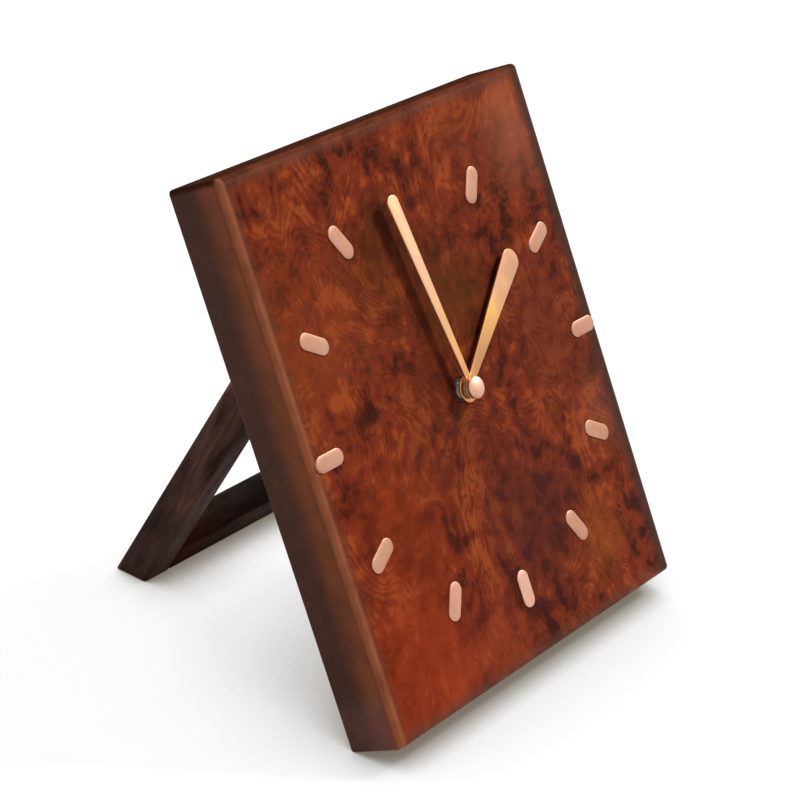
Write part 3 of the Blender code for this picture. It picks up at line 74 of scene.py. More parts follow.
class Body(Enum):
    """The rigid bodies that pieces ride on."""

    CLOCK = "clock_body"
    STAND = "stand"
    MINUTE = "minute"
    HOUR = "hour"
    SETTING = "setting"


class Slot(Enum):
    """The record's finishes."""

    BOARD = "board_wood"
    STAND = "stand_wood"
    BAR = "bar_inlay"
    HAND = "hand_gilt"
    CASE = "case_plastic"
    GEAR = "gear_nylon"
    STEEL = "motor_steel"
    COPPER = "coil_copper"
    CIRCUIT = "circuit_resin"
    CELL = "cell_jacket"
    BRASS = "hinge_brass"


class Effect(Enum):
    """The shader node groups that finishes share."""

    FIGURE = "figured_grain"
    BLOOM = "soft_bloom"
    HAIRLINES = "metal_wear"
    SKIN = "moulded_skin"


@dataclass(frozen=True)
class Lean:
    """A frame that is turned about X: where its zero stands and how far it leans back."""

    origin: Point
    angle: float

    def place(self, points: np.ndarray) -> np.ndarray:
        """Put points in the world: origin + x (1, 0, 0) + y (0, cos, -sin) + z (0, sin, cos)."""
        cosine, sine = math.cos(self.angle), math.sin(self.angle)
        return points @ [[1, 0, 0], [0, cosine, -sine], [0, sine, cosine]] + self.origin


DIAL = Lean((0.0, -0.02524, 0.074933), math.radians(28.0))
STAND_PIN = Lean((0.0, 0.00304, 0.085945), math.radians(-27.0))
KNOB_PLACE: Span = (-0.010285, 0.010615)


def rounded_polygon(
    corners: np.ndarray, radius: float, arc_steps: int = 4, side_steps: int = 1
) -> np.ndarray:
    """Round the corners of a polygon.

    Each corner C is replaced by the curve (1 - t)^2 S + 2 t (1 - t) C + t^2 E, where S and
    E lie the radius away from C along its two sides. The sides between stay straight.

    Args:
        corners: The polygon's corners, one row each.
        radius: How far from a corner its curve starts.
        arc_steps: Steps in each curve.
        side_steps: Steps in each straight side.

    Returns:
        The outline's points, one row each.
    """
    inward = corners - np.roll(corners, 1, axis=0)
    outward = np.roll(corners, -1, axis=0) - corners
    inward /= np.linalg.norm(inward, axis=1, keepdims=True)
    outward /= np.linalg.norm(outward, axis=1, keepdims=True)
    start = (corners - radius * inward)[:, None]
    end = (corners + radius * outward)[:, None]
    share = np.linspace(0, 1, arc_steps + 1)[None, :, None]
    arcs = (1 - share) ** 2 * start + 2 * share * (1 - share) * corners[:, None] + share**2 * end
    along = np.linspace(0, 1, side_steps + 1)[1:-1][None, :, None]
    sides = (1 - along) * end + along * np.roll(start, -1, axis=0)
    return np.concatenate([arcs, sides], axis=1).reshape(-1, corners.shape[1])


def rectangle(left: float, right: float, low: float, high: float) -> np.ndarray:
    """Corners of a rectangle, counter-clockwise."""
    return np.array([(left, low), (right, low), (right, high), (left, high)], float)


def ring(radius: float, angle: np.ndarray) -> np.ndarray:
    """Points of a circle: the radius times (cos a, sin a) at each angle a."""
    return radius * np.stack([np.cos(angle), np.sin(angle)], axis=1)


def quarter_round(inset: float, fall: float, steps: int) -> np.ndarray:
    """Rows of a rounded edge: inset (1 - cos t) and fall (1 - sin t), t up to a quarter turn."""
    turn = np.linspace(0, math.pi / 2, steps + 1)
    return np.stack([inset * (1 - np.cos(turn)), fall * (1 - np.sin(turn))], axis=1)


def offset_loop(loop: np.ndarray, inset: float) -> np.ndarray:
    """Move each point of a counter-clockwise outline inward, square to its neighbours' chord."""
    chord = np.roll(loop, -1, axis=0) - np.roll(loop, 1, axis=0)
    return loop + inset * (chord / np.linalg.norm(chord, axis=1, keepdims=True))[:, ::-1] * (-1, 1)


def stadium(length: float, width: float, inset: float, steps: int) -> np.ndarray:
    """Outline of an upright bar with half-round ends, drawn in by an inset, counter-clockwise."""
    top = ring(width / 2 - inset, np.linspace(0, math.pi, steps + 1)) + (0, (length - width) / 2)
    return np.concatenate([top, -top])


def at_depth(loop: np.ndarray, depth: float) -> np.ndarray:
    """Set an outline of (x, z) points at a depth y of the dial's frame."""
    return np.stack([loop[:, 0], np.broadcast_to(depth, len(loop)), loop[:, 1]], axis=1)


def turned_clockwise(points: np.ndarray, angle: float) -> np.ndarray:
    """Turn points of the dial's frame about its shaft: (x cos + z sin, y, z cos - x sin)."""
    cosine, sine = math.cos(angle), math.sin(angle)
    return points @ np.array([[cosine, 0, -sine], [0, 1, 0], [sine, 0, cosine]])


def turned_rows(profile: np.ndarray, sides: int) -> np.ndarray:
    """Turn rows of (r, y) about the y axis: x = r sin a and z = r cos a, for a all round."""
    turn = ring(1.0, np.linspace(0, math.tau, sides, endpoint=False))[:, ::-1]
    return np.array([at_depth(radius * turn, depth) for radius, depth in profile])


def volume_of(rows: np.ndarray, closed: bool) -> float:
    """Signed volume inside a surface of rows, by the sum of a . (b x c) / 6 over its faces.

    Args:
        rows: Points by row and column.
        closed: True if the last row joins the first, False if both ends are capped.

    Returns:
        The volume, negative where the faces point inward.
    """
    first = rows if closed else rows[:-1]
    second = np.roll(rows, -1, axis=0) if closed else rows[1:]
    a, b = first, np.roll(first, -1, axis=1)
    d, c = second, np.roll(second, -1, axis=1)
    total = np.sum(a * np.cross(b, c)) + np.sum(a * np.cross(c, d))
    if not closed:
        for row, sign in ((rows[0], -1), (rows[-1], 1)):
            fan = np.cross(row[1:-1] - row[0], row[2:] - row[0])
            total += sign * np.sum(row[0] * fan)
    return float(total) / 6


def put(name: str, data: bpy.types.ID) -> bpy.types.Object:
    """Put new data into the scene as an object at the origin.

    Args:
        name: The object's name.
        data: Its mesh, lamp or lens.

    Returns:
        The object.
    """
    thing = bpy.data.objects.new(name, data)
    bpy.context.collection.objects.link(thing)
    return thing


def surface(name: str, rows: np.ndarray, closed: bool, sharp: float) -> bpy.types.Object:
    """Make a closed piece from rows of points, each row a closed loop.

    Neighbouring rows are joined by four-sided faces. The last row joins the first, or both
    end rows are closed by one flat face each. Rows are reversed where the faces would
    otherwise point inward.

    Args:
        name: The piece's name.
        rows: World points by row and column.
        closed: True to join the last row to the first.
        sharp: Edges that bend by more than this many degrees stay sharp.

    Returns:
        The new piece, at the origin and unturned.
    """
    if volume_of(rows, closed) < 0:
        rows = rows[:, ::-1]
    count, width = rows.shape[:2]
    index = np.arange(count * width).reshape(count, width)
    near = index if closed else index[:-1]
    far = np.roll(index, -1, axis=0) if closed else index[1:]
    quads = np.stack([near, np.roll(near, -1, axis=1), np.roll(far, -1, axis=1), far], axis=2)
    faces = quads.reshape(-1, 4).tolist()
    if not closed:
        faces += [index[0][::-1].tolist(), index[-1].tolist()]
    mesh = bpy.data.meshes.new(name)
    mesh.from_pydata(rows.reshape(-1, 3).tolist(), [], faces)
    mesh.shade_smooth()
    mesh.set_sharp_from_angle(angle=math.radians(sharp))
    return put(name, mesh)


class Sketch:
    """A short hand for drawing one node tree. A value is a number, a colour or a socket."""

    def __init__(self, tree: bpy.types.NodeTree) -> None:
        """Keep the tree to draw in."""
        self.tree = tree

    def feed(self, node: bpy.types.Node, inputs: Inputs) -> None:
        """Wire sockets into a node's inputs and set its other inputs.

        Args:
            node: The node.
            inputs: A value for each named or numbered input.
        """
        for key, value in inputs.items():
            if isinstance(value, Socket):
                self.tree.links.new(value, node.inputs[key])
            else:
                node.inputs[key].default_value = value

    def add(self, kind: str, inputs: Inputs | None = None, **settings: object) -> bpy.types.Node:
        """Add a node, set it and wire its inputs.

        Args:
            kind: The node's type name after "ShaderNode".
            inputs: A value for each named or numbered input.
            settings: Values of the node's own properties.

        Returns:
            The new node.
        """
        node = self.tree.nodes.new("ShaderNode" + kind)
        for key, value in settings.items():
            setattr(node, key, value)
        self.feed(node, inputs or {})
        return node

    def group(self, effect: Effect, inputs: Inputs) -> bpy.types.NodeOutputs:
        """Add a shared node group and give its outputs."""
        return self.add("Group", inputs, node_tree=bpy.data.node_groups[effect.value]).outputs

    def math(self, operation: str, first: object, second: object = 0.0) -> Socket:
        """Work out one sum of two values, by the operation's name."""
        return self.add("Math", {0: first, 1: second}, operation=operation).outputs[0]

    def plus(self, *values: object) -> Socket:
        """Add values up from the left."""
        return reduce(lambda first, second: self.math("ADD", first, second), values)

    def times(self, *values: object) -> Socket:
        """Multiply values from the left."""
        return reduce(lambda first, second: self.math("MULTIPLY", first, second), values)

    def mix(self, share: object, first: object, second: object) -> Socket:
        """Blend two colours, the share from 0 to 1 being the second colour's."""
        return self.add("Mix", {0: share, 6: first, 7: second}, data_type="RGBA").outputs[2]

    def remap(
        self, value: Socket, low: float, high: float, to_low: float = 0.0, to_high: float = 1.0
    ) -> Socket:
        """Carry a value from one range to another, smoothly and kept inside it."""
        inputs = {0: value, 1: low, 2: high, 3: to_low, 4: to_high}
        return self.add("MapRange", inputs, interpolation_type="SMOOTHSTEP").outputs[0]

    def noise(self, vector: Socket, scale: object, detail: float, swirl: float = 0.0) -> Socket:
        """Noise of a scale in turns a metre, with octaves of detail, bent by its own swirl."""
        inputs = {"Vector": vector, "Scale": scale, "Detail": detail, "Distortion": swirl}
        return self.add("TexNoise", inputs).outputs[0]

    def bend(self, vector: Socket, scale: float, reach: float) -> Socket:
        """Push the places that a pattern reads by a noise in every direction.

        Args:
            vector: The places.
            scale: The noise's turns a metre.
            reach: How far a place moves at most, there and back.

        Returns:
            The new places' socket.
        """
        inputs = {"Vector": vector, "Scale": scale, "Detail": 2.0}
        noise = self.add("TexNoise", inputs).outputs["Color"]
        push = self.add("VectorMath", {0: noise, 1: (0.5, 0.5, 0.5)}, operation="SUBTRACT")
        inputs = {0: push.outputs[0], "Scale": reach}
        scaled = self.add("VectorMath", inputs, operation="SCALE").outputs[0]
        return self.add("VectorMath", {0: vector, 1: scaled}, operation="ADD").outputs[0]

    def stretch(self, vector: Socket, scale: Point, turn: Point = (0, 0, 0)) -> Socket:
        """Turn and scale the places that a pattern reads."""
        inputs = {"Vector": vector, "Rotation": turn, "Scale": scale}
        return self.add("Mapping", inputs).outputs[0]


Drawing = Callable[[Sketch, bpy.types.NodeOutputs], tuple[Socket, ...]]


def new_group(
    effect: Effect, takes: dict[str, object], gives: Sequence[str], draw: Drawing
) -> None:
    """Make a shader node group.

    Args:
        effect: The group's name.
        takes: Each input's name and its value, a number or a colour, or None for a vector.
        gives: Each output's name. Color is a colour and the others are numbers.
        draw: Draws the nodes from the inputs' sockets and returns a socket for each output.
    """
    tree = bpy.data.node_groups.new(effect.value, "ShaderNodeTree")
    for key, value in takes.items():
        kind = "Vector" if value is None else "Color" if isinstance(value, tuple) else "Float"
        made = tree.interface.new_socket(key, in_out="INPUT", socket_type="NodeSocket" + kind)
        if value is not None:
            made.default_value = value
    for key in gives:
        kind = "Color" if key == "Color" else "Float"
        tree.interface.new_socket(key, in_out="OUTPUT", socket_type="NodeSocket" + kind)
    sketch, source = Sketch(tree), tree.nodes.new("NodeGroupInput")
    given = zip(gives, draw(sketch, source.outputs))
    sketch.feed(tree.nodes.new("NodeGroupOutput"), dict(given))


@dataclass(frozen=True)
class Figure:
    """Figured hardwood: mottled clouds, curling growth lines, dark veins, eyes and pores.

    A noise has its turns a metre, its octaves and its swirl, and a bend its turns and its
    reach. A band has its two ends and sometimes the values at them.
    """

    broad_bend: Span = (45.0, 0.010)
    fine_bend: Span = (170.0, 0.0025)
    blotch_bend: Span = (90.0, 0.006)
    mottle_bend: Span = (160.0, 0.005)
    clouds: Row = (40.0, 4.0, 0.6)
    blotch: Row = (125.0, 2.0)
    mottle: Row = (260.0, 4.0)
    curls: Row = (85.0, 4.0, 1.4)
    levels: Row = (30.0, 1.0, 0.5)
    fibre: Row = (2400.0, 2.0)
    patches: Row = (60.0, 2.0)
    eye_scale: float = 130.0
    curl_stretch: Point = (1.0, 1.0, 0.6)
    fibre_stretch: Point = (1.0, 1.0, 0.06)
    line_turns: float = 260.0
    line_mottle: float = 5.0
    line_band: Row = (0.35, 0.6, 0.008, 0.030)
    vein_band: Span = (0.035, 0.0)
    pore_band: Span = (0.58, 0.72)
    knot_band: Span = (0.24, 0.08)
    shares: Point = (0.40, 0.30, 0.30)
    middle_band: Span = (0.40, 0.50)
    bright_band: Span = (0.50, 0.60)
    patch_band: Row = (0.45, 0.65, 0.15, 0.6)
    pore_shade: float = 0.35
    relief_share: float = 0.3
    gloss_band: Span = (0.3, 0.7)

    def draw(self, sketch: Sketch, takes: bpy.types.NodeOutputs) -> tuple[Socket, ...]:
        """Draw the figure.

        The growth lines follow the levels of a bent noise: they are the sine of line_turns
        times that noise. Their strength comes and goes with the clouds.

        Args:
            sketch: The group's sketch.
            takes: A place and three wood tones.

        Returns:
            The sockets of colour, gloss and height.
        """
        noise, remap, plus, times = sketch.noise, sketch.remap, sketch.plus, sketch.times
        place, dark = takes["Vector"], takes["Dark"]
        bent = sketch.bend(sketch.bend(place, *self.broad_bend), *self.fine_bend)
        longer = sketch.stretch(bent, self.curl_stretch)
        clouds = noise(bent, *self.clouds)
        blotch = noise(sketch.bend(place, *self.blotch_bend), *self.blotch)
        mottle = noise(sketch.bend(place, *self.mottle_bend), *self.mottle)
        apart = sketch.math("SUBTRACT", noise(longer, *self.curls), 0.5)
        veins = remap(sketch.math("ABSOLUTE", apart), *self.vein_band)
        level = times(noise(longer, *self.levels), self.line_turns)
        waves = sketch.math("SINE", plus(level, times(mottle, self.line_mottle)))
        lined = times(waves, remap(clouds, *self.line_band))
        fibre = noise(sketch.stretch(bent, self.fibre_stretch), *self.fibre)
        pores = remap(fibre, *self.pore_band)
        eyes = sketch.add("TexVoronoi", {"Vector": bent, "Scale": self.eye_scale})
        knots = remap(eyes.outputs["Distance"], *self.knot_band)
        layers = zip((clouds, blotch, mottle), self.shares)
        tone = plus(*(times(layer, share) for layer, share in layers), lined)
        colour = sketch.mix(remap(tone, *self.middle_band), dark, takes["Middle"])
        colour = sketch.mix(remap(tone, *self.bright_band), colour, takes["Bright"])
        patchy = remap(noise(place, *self.patches), *self.patch_band)
        shade = times(sketch.math("MAXIMUM", veins, knots), patchy)
        shade = sketch.math("MAXIMUM", shade, times(pores, self.pore_shade))
        height = sketch.math("SUBTRACT", times(mottle, self.relief_share), pores)
        return sketch.mix(shade, colour, dark), remap(mottle, *self.gloss_band), height


@dataclass
class Effects:
    """The drawings of the shared shader node groups, with their numbers."""

    rim_noise: Row = (70.0, 3.0)
    rim_share: float = 0.9
    rim_band: Span = (1.45, 0.45)
    up_lines: tuple[Point, Point] = ((1.0, 1.0, 0.06), (0, 0.4, 0))
    cross_lines: tuple[Point, Point] = ((0.07, 1.0, 1.0), (0, 0.2, 0))
    dull_noise: Row = (120.0, 3.0, 0.6)
    dull_band: Span = (0.35, 0.7)
    mark_noise: Row = (90.0, 4.0, 0.8)
    mark_band: Span = (0.3, 0.75)
    fine_detail: float = 2.0

    def build(self) -> None:
        """Build every shared group."""
        tones = dict.fromkeys(("Dark", "Middle", "Bright"), WHITE)
        gives = ("Color", "Gloss", "Height")
        new_group(Effect.FIGURE, {"Vector": None, **tones}, gives, Figure().draw)
        takes = {"Vector": None, "Centre": None, "Reach": 0.02}
        new_group(Effect.BLOOM, takes, ("Mask",), self.patched)
        takes, gives = {"Vector": None, "Scale": 900.0}, ("Wear", "Height")
        new_group(Effect.HAIRLINES, takes, gives, self.scratched)
        new_group(Effect.SKIN, takes, gives, self.handled)

    def patched(self, sketch: Sketch, takes: bpy.types.NodeOutputs) -> tuple[Socket, ...]:
        """A soft round patch: 1 at its centre, 0 beyond its reach, with a ragged rim.

        Args:
            sketch: The group's sketch.
            takes: A place, a centre and a reach.

        Returns:
            The mask's socket.
        """
        wobble = sketch.times(sketch.noise(takes["Vector"], *self.rim_noise), self.rim_share)
        ends = {0: takes["Vector"], 1: takes["Centre"]}
        apart = sketch.add("VectorMath", ends, operation="DISTANCE").outputs["Value"]
        share = sketch.math("DIVIDE", apart, takes["Reach"])
        return (sketch.remap(sketch.plus(share, wobble), *self.rim_band),)

    def scratched(self, sketch: Sketch, takes: bpy.types.NodeOutputs) -> tuple[Socket, ...]:
        """Hairlines in two directions and soft dull patches, for metals.

        Args:
            sketch: The group's sketch.
            takes: A place and a scale.

        Returns:
            The sockets of wear and height.
        """
        place, size = takes["Vector"], (takes["Scale"], self.fine_detail)
        ways = (sketch.stretch(place, *way) for way in (self.up_lines, self.cross_lines))
        lines = [sketch.noise(way, *size) for way in ways]
        dull = sketch.noise(place, *self.dull_noise)
        return sketch.remap(dull, *self.dull_band), sketch.times(*lines)

    def handled(self, sketch: Sketch, takes: bpy.types.NodeOutputs) -> tuple[Socket, ...]:
        """Wear and height of a moulded surface: faint handling marks over a fine skin."""
        wear = sketch.remap(sketch.noise(takes["Vector"], *self.mark_noise), *self.mark_band)
        return wear, sketch.noise(takes["Vector"], takes["Scale"], self.fine_detail)


@dataclass(frozen=True)
class Bloom:
    """A broad patch of another tone."""

    centre: Point
    reach: float
    tone: Colour
    strength: float


@dataclass(frozen=True)
class Finish:
    """What every finish has. Each kind of finish paints in its own way."""

    name: str
    roughness: float = 0.5
    specular: float = 0.5
    metallic: float = 0.0
    coat: float = 0.0
    coat_roughness: float = 0.2
    polish: float = 0.05
    dulling: float = 0.08
    relief: float = 0.00002
    relief_strength: float = 0.6
    blooms: tuple[Bloom, ...] = ()

    def make(self) -> bpy.types.Material:
        """Build the material.

        Returns:
            The material.
        """
        material = bpy.data.materials.new(self.name)
        material.use_nodes = True
        sketch = Sketch(material.node_tree)
        inputs = {"Metallic": self.metallic, "Specular IOR Level": self.specular}
        inputs |= {"Coat Weight": self.coat, "Coat Roughness": self.coat_roughness}
        inputs |= self.paint(sketch, sketch.add("TexCoord").outputs["Object"])
        raised = {"Height": inputs.pop("Height"), "Distance": self.relief}
        bump = sketch.add("Bump", raised | {"Strength": self.relief_strength})
        inputs["Normal"] = bump.outputs["Normal"]
        sketch.feed(material.node_tree.nodes["Principled BSDF"], inputs)
        return material

    def paint(self, sketch: Sketch, place: Socket) -> Inputs:
        """Give the shader's inputs and the bump's height; each kind of finish has its own."""
        raise NotImplementedError

    def bloomed(self, sketch: Sketch, place: Socket, colour: Socket) -> Socket:
        """Lay the blooms over a colour, one after the other.

        Args:
            sketch: The material's sketch.
            place: The places that the blooms are measured in.
            colour: The colour under them.

        Returns:
            The blended colour's socket.
        """
        for bloom in self.blooms:
            inputs = {"Vector": place, "Centre": bloom.centre, "Reach": bloom.reach}
            mask = sketch.group(Effect.BLOOM, inputs)["Mask"]
            share = sketch.times(mask, bloom.strength)
            colour = sketch.mix(share, colour, bloom.tone)
        return colour


@dataclass(frozen=True)
class Stain:
    """A tone that grows over a colour along a band, from none up to its share."""

    tone: Colour
    band: Span
    share: float = 1.0

    def ends(self, edge: float) -> Span:
        """The band's two ends, measured from an edge."""
        return edge + self.band[0], edge + self.band[1]

    def over(self, sketch: Sketch, way: Socket, colour: object, edge: float = 0.0) -> Socket:
        """Lay the tone over a colour, along a way, the band being measured from an edge."""
        share = sketch.remap(way, *self.ends(edge), 0.0, self.share)
        return sketch.mix(share, colour, self.tone)


@dataclass(frozen=True)
class BoardSizes:
    """The board's main sizes, which its surface and its finish share."""

    half_width: float = 0.064
    half_height: float = 0.076
    thickness: float = 0.018
    front_round: float = 0.0024


@dataclass(frozen=True)
class BoardEdges:
    """Tones of the board's rim, right border and sides, with a painted shade on the top
    side and a painted highlight along the left arris.
    """

    board: BoardSizes = BoardSizes()
    rim: Stain = Stain(shown(96, 58, 42), (-0.0042, -0.0006), 0.55)
    right: Stain = Stain(shown(62, 42, 34), (-0.0068, -0.0018), 0.85)
    side_front: Colour = shown(138, 76, 48)
    side_back: Stain = Stain(shown(66, 48, 41), (0.0027, 0.0117))
    side_soil: Stain = Stain(shown(66, 48, 41), (0.35, 0.65), 0.35)
    side_foot: Stain = Stain(shown(116, 84, 80), (0.03, 0.015), 0.6)
    # Painted shade: a dark tone over the top rounded edge and the top side.
    top_shade: Stain = Stain(shown(48, 28, 20), (-0.0022, -0.0008))
    side_band: Span = (0.00072, 0.00288)
    side_share: float = 0.78
    # Painted highlight: the lighter colour of the left front arris, where light catches the rounded
    # edge.
    arris_highlight: Colour = shown(186, 110, 74)
    arris_share: float = 0.7
    arris_left: Span = (0.0026, 0.0012)
    arris_front: Span = (0.00216, 0.00084)
    # Noise band that breaks up the painted arris highlight.
    arris_highlight_breaks: Row = (0.3, 0.6, 0.6, 1.0)
    ragging_noise: Row = (110.0, 3.0)
    rim_rag: float = 0.002
    foot_rag: float = 0.02

    def over(self, sketch: Sketch, turned: Socket, colour: Socket) -> Socket:
        """Blend the rim, the sides and the arris over a colour.

        The rim's share grows over its band before an edge, measured by the larger of
        |x| - half width and |z| - half height, and the right border's by x alone. The
        side's share grows over the depth of the rounded front edge, and its tone goes from
        side_front to side_back through the board. The top side gets a dark painted shade.
        The arris gets a painted highlight where x is near the left side and the depth is
        within the rounded edge, broken up by a noise.

        Args:
            sketch: The material's sketch.
            turned: Places in the board's frame.
            colour: The colour under the rim.

        Returns:
            The blended colour's socket.
        """
        half_width, half_height = self.board.half_width, self.board.half_height
        across, inward, upward = sketch.add("SeparateXYZ", {0: turned}).outputs
        ragging = sketch.noise(turned, *self.ragging_noise)
        ragged = sketch.times(ragging, self.rim_rag)
        beside = sketch.math("SUBTRACT", sketch.math("ABSOLUTE", across), half_width)
        above = sketch.math("SUBTRACT", sketch.math("ABSOLUTE", upward), half_height)
        nearest = sketch.plus(sketch.math("MAXIMUM", beside, above), ragged)
        colour = self.rim.over(sketch, nearest, colour)
        colour = self.right.over(sketch, sketch.plus(across, ragged), colour, half_width)
        side = self.side_back.over(sketch, inward, self.side_front)
        side = self.side_soil.over(sketch, ragging, side)
        low = sketch.plus(upward, sketch.times(ragging, self.foot_rag))
        side = self.side_foot.over(sketch, low, side, -half_height)
        # Painted shade on the top side.
        side = self.top_shade.over(sketch, upward, side, half_height)
        share = sketch.remap(inward, *self.side_band, 0.0, self.side_share)
        colour = sketch.mix(share, colour, side)
        # Painted highlight: a lighter band along the rounded left front edge, broken up by the
        # noise.
        left = sketch.remap(across, *(part - half_width for part in self.arris_left))
        front = sketch.remap(inward, *self.arris_front)
        wear = sketch.remap(ragging, *self.arris_highlight_breaks)
        arris_highlight = sketch.times(left, front, self.arris_share, wear)
        return sketch.mix(arris_highlight, colour, self.arris_highlight)

    def sheen(self, sketch: Sketch, turned: Socket, specular: float) -> Socket:
        """Let the shine fade from its full value to none towards the top side, which carries the
        painted shade.
        """
        upward = sketch.add("SeparateXYZ", {0: turned}).outputs[2]
        return sketch.remap(upward, *self.top_shade.ends(self.board.half_height), specular, 0.0)


@dataclass(frozen=True)
class WoodFinish(Finish):
    """Oiled figured hardwood, drawn in the leaning frame of its piece."""

    dark: Colour = WHITE
    middle: Colour = WHITE
    bright: Colour = WHITE
    grain: Point = (1.0, 1.0, 1.0)
    lean: Lean = DIAL
    edges: BoardEdges | None = None
    polish: float = 0.06
    dulling: float = 0.06
    relief: float = 0.00012

    def paint(self, sketch: Sketch, place: Socket) -> Inputs:
        """Draw the figure, the blooms and the edges.

        Args:
            sketch: The material's sketch.
            place: Object coordinates.

        Returns:
            The shader's inputs and the bump's height.
        """
        shift = sketch.add("VectorMath", {0: place, 1: self.lean.origin}, operation="SUBTRACT")
        turned = sketch.stretch(shift.outputs[0], (1, 1, 1), (self.lean.angle, 0, 0))
        inputs = {"Vector": sketch.stretch(turned, self.grain), "Dark": self.dark}
        inputs |= {"Middle": self.middle, "Bright": self.bright}
        colour, gloss, height = sketch.group(Effect.FIGURE, inputs)
        colour = self.bloomed(sketch, turned, colour)
        dull, bright = self.roughness + self.dulling, self.roughness - self.polish
        painted = {"Roughness": sketch.remap(gloss, 0, 1, dull, bright), "Height": height}
        if self.edges:
            colour = self.edges.over(sketch, turned, colour)
            painted["Specular IOR Level"] = self.edges.sheen(sketch, turned, self.specular)
        return painted | {"Base Color": colour}


@dataclass(frozen=True)
class WornFinish(Finish):
    """A tone that drifts towards a worn one under a fine pattern."""

    tone: Colour = WHITE
    worn: Colour = WHITE
    pattern: Effect = Effect.SKIN
    scale: float = 3500.0

    def paint(self, sketch: Sketch, place: Socket) -> Inputs:
        """Draw the drifting tone, the blooms and the print.

        Args:
            sketch: The material's sketch.
            place: Object coordinates.

        Returns:
            The shader's inputs and the bump's height.
        """
        wear, height = sketch.group(self.pattern, {"Vector": place, "Scale": self.scale})
        colour = self.bloomed(sketch, place, sketch.mix(wear, self.tone, self.worn))
        low, high = self.roughness - self.polish, self.roughness + self.dulling
        painted = {"Roughness": sketch.remap(wear, 0, 1, low, high), "Height": height}
        return painted | {"Base Color": self.printed(sketch, place, colour)}

    def printed(self, sketch: Sketch, place: Socket, colour: Socket) -> Socket:
        """Leave the colour plain; a printed finish lays its bands over it."""
        return colour


@dataclass(frozen=True)
class MouldedFinish(WornFinish):
    """Moulded plastic or resin, with faint marks of handling."""


@dataclass(frozen=True)
class MetalFinish(WornFinish):
    """Satin metal with fine hairlines."""

    roughness: float = 0.34
    metallic: float = 1.0
    dulling: float = 0.1
    relief: float = 0.00003
    pattern: Effect = Effect.HAIRLINES
    scale: float = 900.0


@dataclass(frozen=True)
class CellFinish(WornFinish):
    """A battery's printed jacket: a dark body, a coppery band, a thin line and bare ends."""

    band: Stain = Stain(shown(196, 128, 74), (0.01044, 0.01056))
    line_from: Span = (0.00844, 0.00856)
    line_to: Span = (0.00936, 0.00924)
    bare: Stain = Stain(shown(186, 188, 190), (0.02424, 0.02436))

    def printed(self, sketch: Sketch, place: Socket, colour: Socket) -> Socket:
        """Lay the bands over the jacket by the distance along it.

        Args:
            sketch: The material's sketch.
            place: Object coordinates, whose x runs along the cell.
            colour: The jacket's colour.

        Returns:
            The blended colour's socket.
        """
        along = sketch.add("SeparateXYZ", {0: place}).outputs[0]
        colour = self.band.over(sketch, along, colour)
        line = sketch.times(*(sketch.remap(along, *e) for e in (self.line_from, self.line_to)))
        colour = sketch.mix(line, colour, self.band.tone)
        return self.bare.over(sketch, sketch.math("ABSOLUTE", along), colour)


# Patches of the board's own tone, and two patches of painted shadow beside the minute hand.
BOARD_TONE_AND_SHADOW_BLOOMS = tuple(
    Bloom((x, 0.0, z), reach, shown(*tone), strength)
    for x, z, reach, tone, strength in (
        (-0.046, -0.060, 0.040, (148, 50, 19), 0.62),
        (-0.038, -0.020, 0.028, (142, 52, 18), 0.50),
        (-0.052, 0.030, 0.038, (134, 60, 29), 0.50),
        (-0.014, -0.068, 0.022, (144, 58, 32), 0.45),
        (0.039, -0.055, 0.018, (140, 72, 24), 0.50),
        (0.054, 0.058, 0.026, (152, 88, 62), 0.50),
        (0.000, 0.028, 0.036, (86, 38, 12), 0.65),
        (-0.006, -0.008, 0.034, (76, 30, 17), 0.58),
        (0.014, -0.040, 0.036, (78, 34, 25), 0.66),
        (0.040, 0.006, 0.034, (84, 32, 20), 0.70),
        (0.031, 0.062, 0.020, (98, 40, 24), 0.50),
        (0.056, -0.024, 0.020, (112, 70, 54), 0.45),
        # Painted shadow: the next two patches darken the face to the left of the minute hand, where
        # its shadow falls.
        (-0.021, 0.042, 0.020, (66, 32, 10), 0.55),
        (-0.013, 0.050, 0.013, (54, 22, 6), 0.75),
        (0.008, 0.025, 0.019, (78, 42, 8), 0.60),
    )
)
BAR_BLOOMS = (Bloom((-0.006, -0.052, 0.0246), 0.042, shown(226, 174, 152), 0.85),)
# Painted reflection: golden and pinkish shifts along the hands, darker near the hour hand's hub,
# standing in for how the metal reflects its surroundings.
HAND_REFLECTION_BLOOMS = (
    Bloom(DIAL.origin, 0.036, shown(222, 164, 100), 0.95),
    Bloom((0.0310, -0.0152, 0.0978), 0.034, shown(206, 154, 116), 0.95),
    Bloom((0.0171, -0.0204, 0.0880), 0.016, shown(226, 170, 98), 0.85),
    Bloom((0.0070, -0.0240, 0.0806), 0.013, shown(178, 124, 84), 0.70),
)
RAIL_BLOOMS = (Bloom((-0.026, 0.003, -0.093), 0.018, shown(92, 36, 28), 0.75),)

